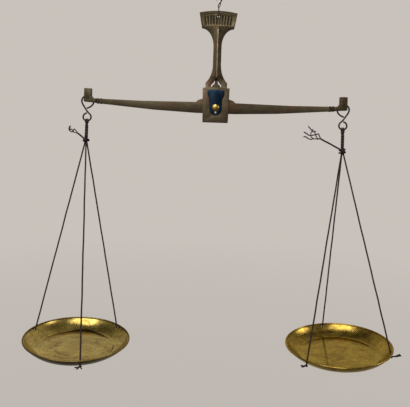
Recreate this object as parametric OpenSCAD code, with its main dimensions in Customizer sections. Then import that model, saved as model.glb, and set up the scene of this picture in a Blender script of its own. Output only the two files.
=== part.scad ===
// Equal-arm hand scale: handle, beam on knife edges, wire hooks and two pans on cords.
// Inside each module z = 0 is the line through the two end knife edges and x = 0 the
// middle of the beam. The whole scale is then lowered so that the top of the hanging
// eye is the origin. X runs along the beam, Y away from the front, Z up.

/* [Beam] */
// Distance between the two end knife edges
arm_span = 254; // [230:2:290]
// Height of the beam beside the handle plates
mid_h = 10.7; // [9.5:0.1:12]
// Height of the beam where it meets its end boxes
end_h = 4.6; // [4.2:0.1:5.4]
// Thickness of the beam through its middle
mid_t = 4; // [3.4:0.1:4.4]
// Thickness of the beam where it meets its end boxes
end_t = 3; // [2.6:0.1:3.4]
// How far the top of the beam lies under the end knife line
arm_drop = 2.4; // [2:0.1:3]
// How much the top of each arm dips along its length
arm_dip = 0.7; // [0:0.1:1.2]
// Width of the hump at the foot of its slopes
hump_w = 39; // [36:0.5:44]
// Height of the top of the hump above the end knife line
hump_top = 9; // [8:0.2:10]
// Width of the raised collar at each end of the beam
collar_w = 1.6; // [1:0.1:2.2]

/* [End boxes] */
// Width of each end box along the beam
box_w = 6.9; // [5.8:0.1:7.4]
// Height of the top of each box above its knife edge
box_top = 7.4; // [6:0.1:9]
// Depth of each box below its knife edge
box_drop = 5.7; // [5.2:0.1:6.2]
// Thickness of each box from front to back
box_t = 5.4; // [4.8:0.1:6.4]
// Width of the slot that the hook hangs in
box_slot = 2.4; // [2.1:0.1:2.6]

/* [Knives and bearings] */
// Height of the middle knife edge above the end knife line
pivot_up = 1; // [0.6:0.1:1.6]
// Rounded back radius of the middle knife
mid_knife_r = 1.4; // [1.1:0.05:1.5]
// Height of the middle knife from its edge to the centre of its back
mid_knife_h = 2.2; // [1.9:0.05:2.5]
// Rounded back radius of each end knife
end_knife_r = 1.2; // [1:0.05:1.4]
// Height of each end knife from its edge to the centre of its back
end_knife_h = 2; // [1.8:0.05:2.2]
// Bore radius of the ring bearings
bearing_bore_r = 2.5; // [2.4:0.05:2.8]
// Wall of the ring bearings
bearing_wall = 0.9; // [0.7:0.05:1.2]

/* [Pointer] */
// Thickness of the pointer
pointer_t = 1.6; // [1.2:0.1:2]
// Width of the pointer's foot on the beam
pointer_foot_w = 8; // [7:0.2:9]
// Width of the pointer above its foot
pointer_w = 2.8; // [2.2:0.1:3.2]
// Height of the pointer's tip above the end knife line
pointer_top = 24; // [22:0.2:24.6]

/* [Handle] */
// Height of the middle of the head above the end knife line
head_top = 89.5; // [86:0.5:96]
// Height of the head at its sides
head_h = 15.3; // [14.6:0.1:17]
// Width of the head across its upper corners
head_w = 38; // [35:0.5:42]
// Width of the head across its lower corners
head_base_w = 32.2; // [29:0.1:34]
// Thickness of the head
head_t = 3.8; // [3.4:0.1:4.4]
// How far the top of the head is arched
head_arch = 2.1; // [1:0.1:3]
// Number of flutes on each face of the head
flute_count = 10; // [6:2:10]
// Width of one flute
flute_w = 1.7; // [1.2:0.1:1.9]
// Depth of one flute
flute_depth = 0.6; // [0.3:0.05:0.8]
// Height of the lip over the flutes
lip_h = 2.8; // [2.4:0.1:3.2]
// Depth of the groove in the lip
lip_groove = 0.3; // [0.2:0.05:0.4]
// Width of the stem at its waist
stem_w = 8; // [7:0.1:9]
// Thickness of the stem at its edges
stem_t = 4.2; // [3.8:0.1:5]
// Width of the low ridge down the middle of the stem
ridge_w = 4.6; // [3:0.2:5.6]
// Height of that ridge
ridge_h = 0.5; // [0.3:0.05:0.7]
// Width of the handle where it meets its plates
shoulder_w = 21.4; // [20:0.2:23]
// Width of the two plates at their top
plate_w = 26.6; // [25:0.2:29]
// Width of the two plates at their bottom
plate_base_w = 25; // [24:0.2:27]
// Height of the top of the plates above the end knife line
plate_top = 11.8; // [11:0.1:12.4]
// Height of the plates
plate_h = 33.9; // [32:0.5:37]
// Thickness of each plate
plate_t = 1.8; // [1.5:0.1:2.4]
// Gap between the front and the back plate
fork_gap = 5; // [4.8:0.1:5.6]
// Radius of the cord hole in the head
cord_hole_r = 1.4; // [1.3:0.05:1.6]

/* [Cover plates] */
// Thickness of each blued cover plate
cover_t = 0.8; // [0.6:0.05:1.2]
// Width of a cover plate across its head
cover_w = 16.7; // [15:0.1:18]
// Width of a cover plate along its body
cover_body_w = 12.3; // [11:0.1:13]
// How far the top of a cover plate is arched
cover_arch = 1.3; // [0.6:0.1:1.8]
// Radius of the domed screw head
screw_head_r = 3.7; // [3.2:0.1:4.2]
// Height of the domed screw head
screw_head_h = 1.6; // [1.2:0.1:2.2]
// Radius of the screw's shank
screw_r = 1.1; // [0.9:0.05:1.3]
// Radius of the steady pin under each screw
pin_r = 0.9; // [0.7:0.05:1]

/* [Hooks] */
// Diameter of the hook wire
wire_d = 1.6; // [1.3:0.05:1.7]
// Radius of the lower ring of a hook, to the middle of its wire
ring_r = 3.9; // [3.7:0.1:4.4]
// Depth of the middle of that ring below the knife edge
ring_drop = 21; // [20:0.2:23]

/* [Pans] */
// Outer radius of a pan
pan_r = 50.6; // [45:0.2:56]
// Radius of a pan's flat floor
floor_r = 37.6; // [34:0.2:39]
// Depth of a pan
pan_h = 10; // [8.6:0.1:12]
// Thickness of the sheet of a pan
pan_t = 0.8; // [0.6:0.05:1.2]
// Radius of the rolled rim of a pan
rim_r = 0.7; // [0.6:0.05:0.9]
// Distance of the cord holes from the outer edge of a pan
hole_inset = 2.8; // [2.7:0.1:3.2]
// Radius of the cord holes in a pan
pan_hole_r = 1.15; // [1.05:0.05:1.2]
// How far the outer side of the left pan hangs above level, in degrees
left_lean = 3; // [0:0.5:5]
// How far the outer side of the right pan hangs above level, in degrees
right_lean = 4.5; // [0:0.5:5]

/* [Cords] */
// Diameter of one pan cord
cord_d = 1.5; // [1.2:0.05:1.6]
// Diameter of the cord that the handle hangs on
hang_d = 1.1; // [0.9:0.05:1.2]
// Height of the top of the hanging eye above the end knife line
hang_h = 124; // [118:1:132]
// Depth of the rim of the left pan below its hook's knife edge
left_drop = 235.5; // [200:0.5:260]
// Depth of the rim of the right pan below its hook's knife edge
right_drop = 233; // [200:0.5:260]
// Depth of the knot over the left pan below its hook's knife edge
left_knot_drop = 44; // [40:0.5:60]
// Depth of the knot over the right pan below its hook's knife edge
right_knot_drop = 46.3; // [42:0.1:60]
// Radius of the knot over a pan
knot_r = 3; // [2.6:0.1:3.4]
// Height of the knot over a pan
knot_h = 4.4; // [3.6:0.1:5.4]

/* [Hidden] */
// Clearance round a part that is pressed, screwed or soldered in place
fit_gap = 0.02;
// Clearance at a knife edge or under a hook that rests on one
run_gap = 0.04;
// Overlap that makes a cut run past the face it opens
cut = 1;
// Number of sides of a round part
fine = 48;
// Number of sides of a wire or a cord
sides = 8;

arm = arm_span / 2;
hump = hump_w / 2;
fork = fork_gap / 2;
plate_out = fork + plate_t;

// The end box with its two prongs starts this far inside its knife edge
box_in = 11;
box_neck = 1.6;
prong_start = 8.7;
arm_end = arm - box_in;

// Heights on the handle above the end knife line
head_side = head_top - head_arch;
head_foot = head_side - head_h;
hole_z = head_side - 3.1;
waist_top = head_foot - 18;
waist_low = 35.4;
flare_low = 20.6;
flare_x = 16;
fork_top = pointer_top + 2;
taper_top = fork_top + 12;
window_top = 21.4;
window_knee = 17.9;
window_w = 10.4;
sight_low = plate_top - 3;
leg_out = plate_out - 0.3;

// Cover plates, their screws and steady pins
cover_top = 8.7;
cover_neck_top = 6.2;
cover_neck_low = -0.6;
screw_z = -8;
pin_z = screw_z - screw_head_r - pin_r - 0.1;
cover_end_z = screw_z - 0.9;

// Points along the hanging cord, from under its knot, down the front of the head,
// through its hole and up the back
knot_x = 2.4;
knot_z = hang_h - 19;
hang_side = [
    [2.5, 0.8, knot_z - 1.6],
    [2.4, 0.8, knot_z - 4.4],
    [1.4, 0.8, knot_z - 6.8],
    [0.4, 0.9, knot_z - 9],
    [0.1, 1.5, knot_z - 11.4],
    [0, 2.5, knot_z - 14.3]
];
hang_bend_r = head_t / 2 + hang_d / 2 + 0.35;
hang_bend_z = hole_z + hang_bend_r - 0.6;

// Points along the two sides of the hanging eye, from the knot up to its round top,
// whose inner side is the height that the scale hangs from
eye_right = [[3, 0, knot_z + 0.6], [3.3, 0, knot_z + 4], [4.4, 0, knot_z + 9]];
eye_left = [[1.8, 0, knot_z + 0.6], [0.2, 0, knot_z + 4], [-3, 0, knot_z + 8.5]];
eye_r = 4.6;
eye_z = hang_h - eye_r + hang_d / 2;

// Points along the loose end that hangs from the upper knot
hang_tail = [
    [1, -0.4, knot_z - 0.7],
    [-0.6, -0.6, knot_z - 0.9],
    [-2, -0.8, knot_z - 2.4],
    [-2.6, -0.8, knot_z - 4.6]
];

// Points along the middle of a hook's wire. The hook hangs on its knife at [0, 0] and
// the wire runs from the free end inside the upper loop, over the knife and round the
// lower ring to the other free end.
over_z = wire_d / 2 + run_gap;
upper_loop = [
    [-0.1, -12],
    [2.6, -10.9],
    [5, -8.6],
    [5.9, -5.8],
    [5.3, -2.8],
    [3.2, -0.4],
    [0, over_z],
    [-3.3, -0.4],
    [-5.5, -2.9],
    [-5.9, -5.7],
    [-4.7, -8.6],
    [-2.6, -11.8],
    [-0.5, -15]
];
ring_start = 52;
ring_sweep = 308;
ring_steps = 15;

// Points along the loose tails of the two pan knots, from the knot outwards
left_tail_points = [[-2, 0, 1.4], [-5, 0, 3.4], [-9, 0.5, 6.4], [-13, 0, 8.6], [-16.6, -1, 10.2]];
right_tail_points = [[-2, 0, 1.4], [-6, 0, 3.2], [-12, 0.5, 6.2], [-18, 0.5, 9.6], [-24, 0, 11.8],
    [-31, -1, 14.2], [-37, -1, 16.4]];

// Directions of the three cords of each pan, in degrees from +X towards +Y. Their holes
// are spaced by eye.
left_turns = [47.4, 164, 289];
right_turns = [93.2, 219, 334];
pan_cords = 3;

neck_gap = 0.15;

function unit(v) = v / norm(v);

// Height and top of the beam at a distance s from its middle
function along(s) = max(0, min(1, (s - hump) / (arm_end - hump)));
function beam_h(s) = mid_h + (end_h - mid_h) * pow(along(s), 1.1);
function beam_top(s) = -arm_drop - arm_dip * sin(180 * along(s));
function beam_t(s) = mid_t + (end_t - mid_t) * along(s);

// A smooth curve through a list of points, with a few steps between each two
function curve_point(a, b, c, d, t) =
    0.5 * (2 * b + (c - a) * t + (2 * a - 5 * b + 4 * c - d) * t * t
    + (3 * b - a - 3 * c + d) * t * t * t);
function smooth(p, steps) = [
    for (i = [0 : len(p) - 2])
        for (k = [0 : (i == len(p) - 2 ? steps : steps - 1)])
            curve_point(p[max(i - 1, 0)], p[i], p[i + 1], p[min(i + 2, len(p) - 1)], k / steps)
];
function reversed(p) = [for (i = [len(p) - 1 : -1 : 0]) p[i]];
function arc(centre, r, from, sweep, steps) = [
    for (k = [0 : steps]) centre + r * [cos(from + sweep * k / steps), sin(from + sweep * k / steps)]
];

// A round tube swept along points. The vector across is never along the tube.
module tube(p, r, across, n = sides) {
    last = len(p) - 1;
    rings = [
        for (i = [0 : last])
            let (
                t = unit(p[min(i + 1, last)] - p[max(i - 1, 0)]),
                a = unit(cross(t, across)),
                b = cross(t, a)
            )
            for (k = [0 : n - 1]) p[i] + r * (cos(360 * k / n) * a + sin(360 * k / n) * b)
    ];
    walls = [
        for (i = [0 : last - 1])
            for (k = [0 : n - 1])
                let (k2 = (k + 1) % n)
                for (f = [[i * n + k, (i + 1) * n + k2, i * n + k2],
                          [i * n + k, (i + 1) * n + k, (i + 1) * n + k2]]) f
    ];
    near_end = [for (k = [1 : n - 2]) [0, k, k + 1]];
    far_end = [for (k = [1 : n - 2]) [last * n, last * n + k + 1, last * n + k]];
    polyhedron(rings, concat(near_end, walls, far_end));
}

// Places children at p with their +Z along the line from p to q
module aim(p, q) {
    d = q - p;
    translate(p)
        rotate([0, acos(d[2] / norm(d)), atan2(d[1], d[0])])
            children();
}

// Turns a drawing in the XZ plane into a slab t thick about y = 0
module slab(t) {
    rotate([90, 0, 0])
        translate([0, 0, -t / 2])
            linear_extrude(t)
                children();
}

module lowered() {
    translate([0, 0, -hang_h])
        children();
}

module at_end(side) {
    lowered()
        translate([side * arm, 0, 0])
            children();
}

// Section of a knife with its edge at the origin and its body above it
module knife_section(r, h, grow = 0) {
    slope = asin(r / h);
    rr = r + grow;
    translate([0, h])
        circle(rr, $fn = fine);
    polygon([
        [0, -grow / sin(slope)],
        [rr * cos(slope), h - rr * sin(slope)],
        [-rr * cos(slope), h - rr * sin(slope)]
    ]);
}

// Points along the arched top of the head from left to right, or along a line that runs
// at a depth under it
arch_r = (pow(head_w / 2, 2) + pow(head_arch, 2)) / (2 * head_arch);
function head_arc(depth, half_w) =
    let (r = arch_r - depth, half = asin(half_w / r))
    arc([0, head_top - arch_r], r, 90 + half, -2 * half, 16);

// Outline of the handle from its head down to the top of its plates
module handle_outline() {
    corner = [head_base_w / 2, head_foot];
    waist = stem_w / 2;
    side_points = concat(
        [[head_w / 2, head_side], corner],
        [for (k = [7 : -1 : 0])
            [corner[0] - (corner[0] - waist) * cos(11.25 * k),
             waist_top + (head_foot - waist_top) * sin(11.25 * k)]],
        [for (k = [0 : 8])
            let (x = flare_x - (flare_x - waist) * cos(8 * k))
            if (x < shoulder_w / 2)
                [x, waist_low - flare_low * sin(8 * k)]],
        [[shoulder_w / 2, plate_top + 4.8], [shoulder_w / 2, plate_top - cut]]
    );
    top = head_arc(0, head_w / 2);
    polygon(concat(top, [for (i = [1 : len(side_points) - 1]) side_points[i]],
        [for (p = reversed([for (i = [1 : len(side_points) - 1]) side_points[i]])) [-p[0], p[1]]]));
}

// Side view of the handle: head, stem and the widening above the fork
module handle_side() {
    polygon([
        [-head_t / 2, head_top + cut],
        [-head_t / 2, head_foot],
        [-stem_t / 2, waist_top],
        [-stem_t / 2, taper_top],
        [-leg_out, fork_top - 2],
        [-leg_out, plate_top - cut],
        [leg_out, plate_top - cut],
        [leg_out, fork_top - 2],
        [stem_t / 2, taper_top],
        [stem_t / 2, waist_top],
        [head_t / 2, head_foot],
        [head_t / 2, head_top + cut]
    ]);
}

// Low ridge down the middle of the handle, on both faces. Under the stem it follows the
// slope of the widening down to the window.
module stem_ridge() {
    ridge_low = window_top + 0.8;
    widening = leg_out - stem_t / 2;
    fall = taper_top - fork_top + 2;
    slope = atan2(widening, fall);
    side = ridge_w / 2;
    section = [[-side, 0], [0, -ridge_h], [side, 0], [side, 0.6], [-side, 0.6]];
    for (turn = [0, 180])
        rotate([0, 0, turn])
            translate([0, -stem_t / 2, taper_top]) {
                linear_extrude(head_foot + 2 - taper_top)
                    polygon(section);
                rotate([-slope, 0, 0])
                    translate([0, 0, -(taper_top - ridge_low) / cos(slope)])
                        linear_extrude((taper_top - ridge_low) / cos(slope))
                            polygon(section);
            }
}

// One face of flutes. They fan out from the point where the sides of the head meet.
module flutes() {
    narrowing = (head_w - head_base_w) / 2 / head_h;
    focus_z = head_side - head_w / 2 / narrowing;
    top_r = head_side - 2.4 - focus_z;
    flute_l = head_h - 5.6;
    pitch = 2 * atan(narrowing) * 0.9 / (flute_count + 1);
    field = 0.3;
    difference() {
        slab_y(head_t / 2 - field, cut)
            polygon(concat(
                head_arc(lip_h, head_w / 2 - 1.5),
                [[head_base_w / 2 - 0.6, head_foot + 2.4], [-head_base_w / 2 + 0.6, head_foot + 2.4]]
            ));
        translate([0, 0, hole_z])
            rotate([90, 0, 0])
                cylinder(h = head_t + 2 * cut, r = cord_hole_r + 0.9, center = true, $fn = fine);
    }
    slab_y(head_t / 2 - lip_groove, cut)
        polygon(concat(
            head_arc(lip_h / 2 - lip_groove, head_w / 2 - 1),
            reversed(head_arc(lip_h / 2 + lip_groove, head_w / 2 - 1))
        ));
    for (i = [0 : flute_count - 1])
        slab_y(head_t / 2 - field - flute_depth, cut + field)
            translate([0, focus_z])
                rotate((i - (flute_count - 1) / 2) * pitch)
                    translate([0, top_r - flute_l]) {
                        translate([-flute_w / 2, flute_w / 2])
                            square([flute_w, flute_l - flute_w]);
                        for (z = [flute_w / 2, flute_l - flute_w / 2])
                            translate([0, z])
                                circle(flute_w / 2, $fn = 24);
                    }
}

// Slab of an XZ drawing that starts at y = -from and runs t further to the front
module slab_y(from, t) {
    translate([0, -from, 0])
        rotate([90, 0, 0])
            linear_extrude(t)
                children();
}

module plate_outline() {
    low = plate_top - plate_h;
    polygon([[-plate_base_w / 2, low], [plate_base_w / 2, low], [plate_w / 2, plate_top],
        [-plate_w / 2, plate_top]]);
}

// Pointed window above the plates that shows the pointer
module window_outline() {
    polygon([
        [-pointer_w / 4, window_top],
        [-window_w * 0.27, window_knee + 0.2],
        [-window_w / 2 + 0.2, window_knee - 2.1],
        [-window_w / 2, window_knee - 3],
        [-window_w / 2, plate_top + 1],
        [window_w / 2, plate_top + 1],
        [window_w / 2, window_knee - 3],
        [window_w / 2 - 0.2, window_knee - 2.1],
        [window_w * 0.27, window_knee + 0.2],
        [pointer_w / 4, window_top]
    ]);
}

module bearing_place() {
    translate([0, 0, pivot_up - run_gap + bearing_bore_r])
        rotate([90, 0, 0])
            children();
}

module handle() {
    color([0.36, 0.31, 0.2])
        lowered()
            difference() {
                union() {
                    intersection() {
                        slab(4 * plate_out)
                            handle_outline();
                        rotate([90, 0, 90])
                            translate([0, 0, -head_w])
                                linear_extrude(2 * head_w)
                                    handle_side();
                    }
                    stem_ridge();
                    slab(2 * plate_out)
                        plate_outline();
                }
                // Slot that the beam and the pointer move in
                translate([-head_w, -fork, plate_top - plate_h - cut])
                    cube([2 * head_w, fork_gap, plate_h + fork_top - plate_top + cut]);
                slab(4 * plate_out)
                    window_outline();
                for (turn = [0, 180])
                    rotate([0, 0, turn])
                        flutes();
                translate([0, 0, hole_z])
                    rotate([90, 0, 0])
                        cylinder(h = head_t + 2 * cut, r = cord_hole_r, center = true, $fn = fine);
                bearing_place()
                    cylinder(h = 4 * plate_out, r = bearing_bore_r + bearing_wall + fit_gap,
                        center = true, $fn = fine);
                for (hole = [[screw_z, screw_r], [pin_z, pin_r]])
                    translate([0, 0, hole[0]])
                        rotate([90, 0, 0])
                            cylinder(h = 4 * plate_out, r = hole[1] + fit_gap, center = true, $fn = fine);
            }
}

// Hard steel ring in one plate. The knife rocks on the bottom of its bore.
module bearing(side) {
    color([0.45, 0.45, 0.47])
        lowered()
            translate([0, side * (fork + plate_t / 2), 0])
                bearing_place()
                    difference() {
                        cylinder(h = plate_t, r = bearing_bore_r + bearing_wall, center = true, $fn = fine);
                        cylinder(h = plate_t + 2 * cut, r = bearing_bore_r, center = true, $fn = fine);
                    }
}

// Tulip outline: an arched top, an S-curve on each side and a round foot
module cover_outline() {
    body = cover_body_w / 2;
    half = cover_w / 2;
    top_r = (half * half + cover_arch * cover_arch) / (2 * cover_arch);
    top_half = asin(half / top_r);
    right = concat(
        [for (k = [0 : 8])
            [body + (half - body) * (1 + cos(22.5 * k)) / 2,
             cover_neck_top + (cover_neck_low - cover_neck_top) * k / 8]],
        [[body, cover_end_z]]
    );
    polygon(concat(
        arc([0, cover_top + cover_arch - top_r], top_r, 90 + top_half, -2 * top_half, 12),
        right,
        reversed([for (p = right) [-p[0], p[1]]])
    ));
    translate([0, cover_end_z])
        circle(body, $fn = 96);
}

// Places a part made for the front face on the front (-1) or the back (1)
module on_face(side) {
    lowered()
        rotate([0, 0, side < 0 ? 0 : 180])
            children();
}

module cover(side) {
    color([0.1, 0.15, 0.26])
        on_face(side)
            difference() {
                slab_y(plate_out, cover_t)
                    cover_outline();
                for (hole = [[screw_z, screw_r], [pin_z, pin_r]])
                    translate([0, 0, hole[0]])
                        rotate([90, 0, 0])
                            cylinder(h = 4 * plate_out, r = hole[1] + fit_gap, $fn = fine);
            }
}

// Domed screw turned about its own axis, shank down
module screw(side) {
    dome_r = (screw_head_r * screw_head_r + screw_head_h * screw_head_h) / (2 * screw_head_h);
    rise = asin(screw_head_r / dome_r);
    color([0.78, 0.66, 0.32])
        on_face(side)
            translate([0, -plate_out - cover_t, screw_z])
                rotate([90, 0, 0])
                    rotate_extrude($fn = fine)
                        polygon(concat(
                            [[0, -plate_t - cover_t + 0.2], [screw_r, -plate_t - cover_t + 0.2],
                             [screw_r, 0]],
                            [for (k = [0 : 6])
                                [dome_r * sin(rise * (1 - k / 6)),
                                 dome_r * cos(rise * (1 - k / 6)) - dome_r + screw_head_h]]
                        ));
}

module steady_pin(side) {
    pin_proud = 0.5;
    color([0.75, 0.75, 0.78])
        on_face(side)
            translate([0, -plate_out - cover_t, pin_z])
                rotate([90, 0, 0])
                    rotate_extrude($fn = fine)
                        polygon([[0, 0.2 - plate_t - cover_t], [pin_r, 0.2 - plate_t - cover_t],
                            [pin_r, 0.15], [pin_r * 0.7, 0.4], [0, pin_proud]]);
}

// Front view of the beam with its hump
module beam_outline() {
    steps = 16;
    run = [for (k = [0 : steps]) hump + (arm_end - hump) * k / steps];
    upper = concat(
        [[hump_top * 0.67, hump_top], [hump_top * 0.9, hump_top * 0.67],
         [hump - 6.5, 1.2], [hump - 1.7, -0.5]],
        [for (s = run) [s, beam_top(s)]]
    );
    lower = [for (s = reversed(run)) [s, beam_top(s) - beam_h(s)]];
    right = concat(upper, lower);
    polygon(concat(right, [for (p = reversed(right)) [-p[0], p[1]]]));
}

module beam_plan() {
    polygon([
        [-arm_end, -end_t / 2], [-hump, -mid_t / 2], [hump, -mid_t / 2], [arm_end, -end_t / 2],
        [arm_end, end_t / 2], [hump, mid_t / 2], [-hump, mid_t / 2], [-arm_end, end_t / 2]
    ]);
}

// Raised collar round the beam or the neck of an end box, at a distance s from the middle
module collar(s) {
    proud = 0.35;
    h = beam_h(s);
    translate([s - collar_w / 2, -beam_t(s) / 2 - proud, beam_top(s) - h - proud])
        cube([collar_w, beam_t(s) + 2 * proud, h + 2 * proud]);
}

module beam() {
    tang = 2.6;
    color([0.37, 0.32, 0.21])
        lowered()
            difference() {
                union() {
                    intersection() {
                        slab(2 * mid_t)
                            beam_outline();
                        translate([0, 0, -2 * mid_h])
                            linear_extrude(4 * mid_h)
                                beam_plan();
                    }
                    for (side = [0, 1])
                        mirror([side, 0, 0])
                            collar(arm_end - 2.3);
                }
                // Seat of the middle knife
                slab(2 * mid_t)
                    translate([0, pivot_up])
                        knife_section(mid_knife_r, mid_knife_h, fit_gap);
                // Slot for the tang of the pointer
                translate([-pointer_foot_w / 4 - fit_gap, -pointer_t / 2 - fit_gap,
                    hump_top - tang - fit_gap])
                    cube([pointer_foot_w / 2 + 2 * fit_gap, pointer_t + 2 * fit_gap, tang + cut]);
            }
}

module centre_knife() {
    color([0.5, 0.5, 0.52])
        lowered()
            slab(2 * plate_out - 0.2)
                translate([0, pivot_up])
                    knife_section(mid_knife_r, mid_knife_h);
}

module pointer() {
    tang = 2.6;
    foot_top = 15.1;
    half = pointer_foot_w / 2;
    neck = pointer_w / 2;
    color([0.38, 0.33, 0.24])
        lowered()
            slab(pointer_t)
                polygon([
                    [-half / 2, hump_top - tang],
                    [-half / 2, hump_top],
                    [-half, hump_top],
                    [-half, foot_top - 1.6],
                    [-half + 0.5, foot_top],
                    [-neck - 0.7, foot_top + 0.5],
                    [-neck, foot_top + 2.4],
                    [-neck, pointer_top - 2],
                    [-neck / 2, pointer_top],
                    [neck / 2, pointer_top],
                    [neck, pointer_top - 2],
                    [neck, foot_top + 2.4],
                    [neck + 0.7, foot_top + 0.5],
                    [half - 0.5, foot_top],
                    [half, foot_top - 1.6],
                    [half, hump_top],
                    [half / 2, hump_top],
                    [half / 2, hump_top - tang]
                ]);
}

// End box with the two prongs that carry it, drawn for the right end
module end_box() {
    neck_top = beam_top(arm_end);
    neck_low = neck_top - end_h;
    knife_seat = end_knife_h;
    difference() {
        union() {
            intersection() {
                slab(2 * box_t)
                    polygon([
                        [-box_in, neck_top], [-box_in, neck_low],
                        [-box_w / 2, -box_drop - 0.4], [box_w / 2, -box_drop],
                        [box_w / 2, box_top], [-box_w / 2, box_top],
                        [-box_w / 2, 0.4], [-box_w / 2 - 2.2, neck_top]
                    ]);
                translate([0, 0, -2 * box_top])
                    linear_extrude(4 * box_top)
                        polygon([
                            [-box_in, -end_t / 2], [-box_in + box_neck, -end_t / 2],
                            [-box_in + 3.4, -box_t / 2], [box_w / 2, -box_t / 2],
                            [box_w / 2, box_t / 2], [-box_in + 3.4, box_t / 2],
                            [-box_in + box_neck, end_t / 2], [-box_in, end_t / 2]
                        ]);
            }
            translate([-arm, 0, 0])
                collar(arm_end + collar_w / 2);
        }
        // Slot in which the hook hangs and swings
        translate([-prong_start, -box_slot / 2, -2 * box_drop])
            cube([prong_start + box_w, box_slot, 2 * box_drop + 2 * wire_d]);
        slab(2 * box_t)
            mirror([0, 1])
                knife_section(end_knife_r, knife_seat, fit_gap);
    }
}

module left_box() {
    color([0.42, 0.35, 0.24])
        at_end(-1)
            mirror([1, 0, 0])
                end_box();
}

module right_box() {
    color([0.42, 0.35, 0.24])
        at_end(1)
            end_box();
}

module end_knife(side) {
    color([0.5, 0.5, 0.52])
        at_end(side)
            slab(box_t)
                mirror([0, 1])
                    knife_section(end_knife_r, end_knife_h);
}

// Bent wire hook: an upper loop over the knife and a lower ring for the pan cords
function hook_path() = concat(
    smooth(upper_loop, 3),
    arc([0, -ring_drop], ring_r, ring_start, -ring_sweep, ring_steps)
);

module hook() {
    color([0.24, 0.2, 0.19])
        tube([for (p = hook_path()) [p[0], 0, p[1]]], wire_d / 2, [0, 1, 0]);
}

module left_hook() {
    at_end(-1)
        hook();
}

module right_hook() {
    at_end(1)
        mirror([1, 0, 0])
            hook();
}

// Two legs of cord that run up from the knot and over the ring of the hook
module neck(knot_drop) {
    over_r = wire_d / 2 + neck_gap + cord_d / 2;
    ring_low = -ring_drop - ring_r;
    foot = -knot_drop + knot_h / 2;
    leg = [[0, 1, foot], [0, 1, foot + 4], [0, 1.05, foot + 8],
        [0, over_r - 0.2, ring_low - 4], [0, over_r, ring_low - 1]];
    over = arc([0, ring_low], over_r, 0, 180, 8);
    color([0.23, 0.19, 0.18])
        tube(concat(
            smooth(leg, 2),
            [for (p = over) [0, p[0], p[1]]],
            reversed([for (p = smooth(leg, 2)) [0, -p[1], p[2]]])
        ), cord_d / 2, [1, 0, 0]);
}

// Knot with two wraps about a vertical axis
module knot(drop) {
    wrap = knot_h / 4;
    color([0.2, 0.16, 0.15])
        translate([0, 0, -drop])
            rotate_extrude($fn = fine) {
                translate([0, -knot_h / 2])
                    square([knot_r - wrap, knot_h]);
                for (z = [-wrap, wrap])
                    translate([knot_r - wrap, z])
                        circle(wrap, $fn = 24);
            }
}

module tail(points, drop) {
    color([0.26, 0.21, 0.19])
        translate([0, 0, -drop])
            tube(smooth(points, 2), cord_d / 2, [0, 1, 0]);
}

// Outer face of a pan's wall: an arc from the floor to the rolled rim, whose slope
// grows from wall_from to wall_to
wall_run = [pan_r - rim_r - floor_r, pan_h - rim_r];
wall_bulge = 18.5;
wall_from = atan2(wall_run[1], wall_run[0]) - wall_bulge;
wall_to = wall_from + 2 * wall_bulge;
wall_r = norm(wall_run) / (2 * sin(wall_bulge));
function wall_slope(r) = asin(sin(wall_from) + (r - floor_r) / wall_r);
function wall_point(a, out) = [
    floor_r + wall_r * (sin(a) - sin(wall_from)) - out * sin(a),
    wall_r * (cos(wall_from) - cos(a)) - pan_h + out * cos(a)
];

hole_r = pan_r - hole_inset;
// A point of a pan, measured from the middle of its rim, once the pan leans
function leant(p, lean) =
    [p[0] * cos(lean) + p[2] * sin(lean), p[1], p[2] * cos(lean) - p[0] * sin(lean)];
// Middle of the sheet at a cord hole, measured from the rim
hole_drop = -wall_point(wall_slope(hole_r), pan_t / 2)[1];

// A pan with its rim at z = 0
module pan_shell(turns) {
    steps = 12;
    slopes = [for (k = [0 : steps]) wall_from + (wall_to - wall_from) * k / steps];
    color([0.68, 0.56, 0.26])
        difference() {
            rotate_extrude($fn = 128) {
                polygon(concat(
                    [[0, -pan_h], [floor_r, -pan_h]],
                    [for (a = slopes) wall_point(a, 0)],
                    [for (a = reversed(slopes)) wall_point(a, pan_t)],
                    [[0, pan_t - pan_h]]
                ));
                translate([pan_r - rim_r, -rim_r])
                    circle(rim_r, $fn = 24);
            }
            for (i = [0 : pan_cords - 1])
                rotate([0, 0, turns[i]])
                    translate([hole_r, 0, -pan_h])
                        cylinder(h = pan_h + cut, r = pan_hole_r, $fn = 24);
        }
}

// Where cord i of a pan leaves the knot, passes the pan and ends in its rim knot
rim_knot_r = 1.7;
rim_knot_h = 2.6;
rim_knot_below = 1.7;
function cord_dir(turns, i) = [cos(turns[i]), sin(turns[i]), 0];
function cord_start(turns, i, knot_drop) =
    0.7 * cord_d * cord_dir(turns, i) - [0, 0, knot_drop + knot_h / 2];
function cord_hole(turns, i, drop, lean) =
    leant(hole_r * cord_dir(turns, i) - [0, 0, hole_drop], lean) - [0, 0, drop];
function cord_line(turns, i, drop, knot_drop, lean) =
    unit(cord_hole(turns, i, drop, lean) - cord_start(turns, i, knot_drop));

module pan_cord(turns, i, drop, knot_drop, lean) {
    start = cord_start(turns, i, knot_drop);
    hole = cord_hole(turns, i, drop, lean);
    line = cord_line(turns, i, drop, knot_drop, lean);
    color([0.3, 0.25, 0.24])
        difference() {
            aim(start - line, hole)
                cylinder(h = norm(hole - start) + 1 + rim_knot_below, r = cord_d / 2, $fn = 24);
            translate([-knot_r, -knot_r, -knot_drop - knot_h / 2])
                cube([2 * knot_r, 2 * knot_r, knot_h]);
        }
}

module hang_cord(side, i) {
    if (side < 0)
        at_end(side)
            pan_cord(left_turns, i, left_drop, left_knot_drop, left_lean);
    else
        at_end(side)
            pan_cord(right_turns, i, right_drop, right_knot_drop, -right_lean);
}

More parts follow.
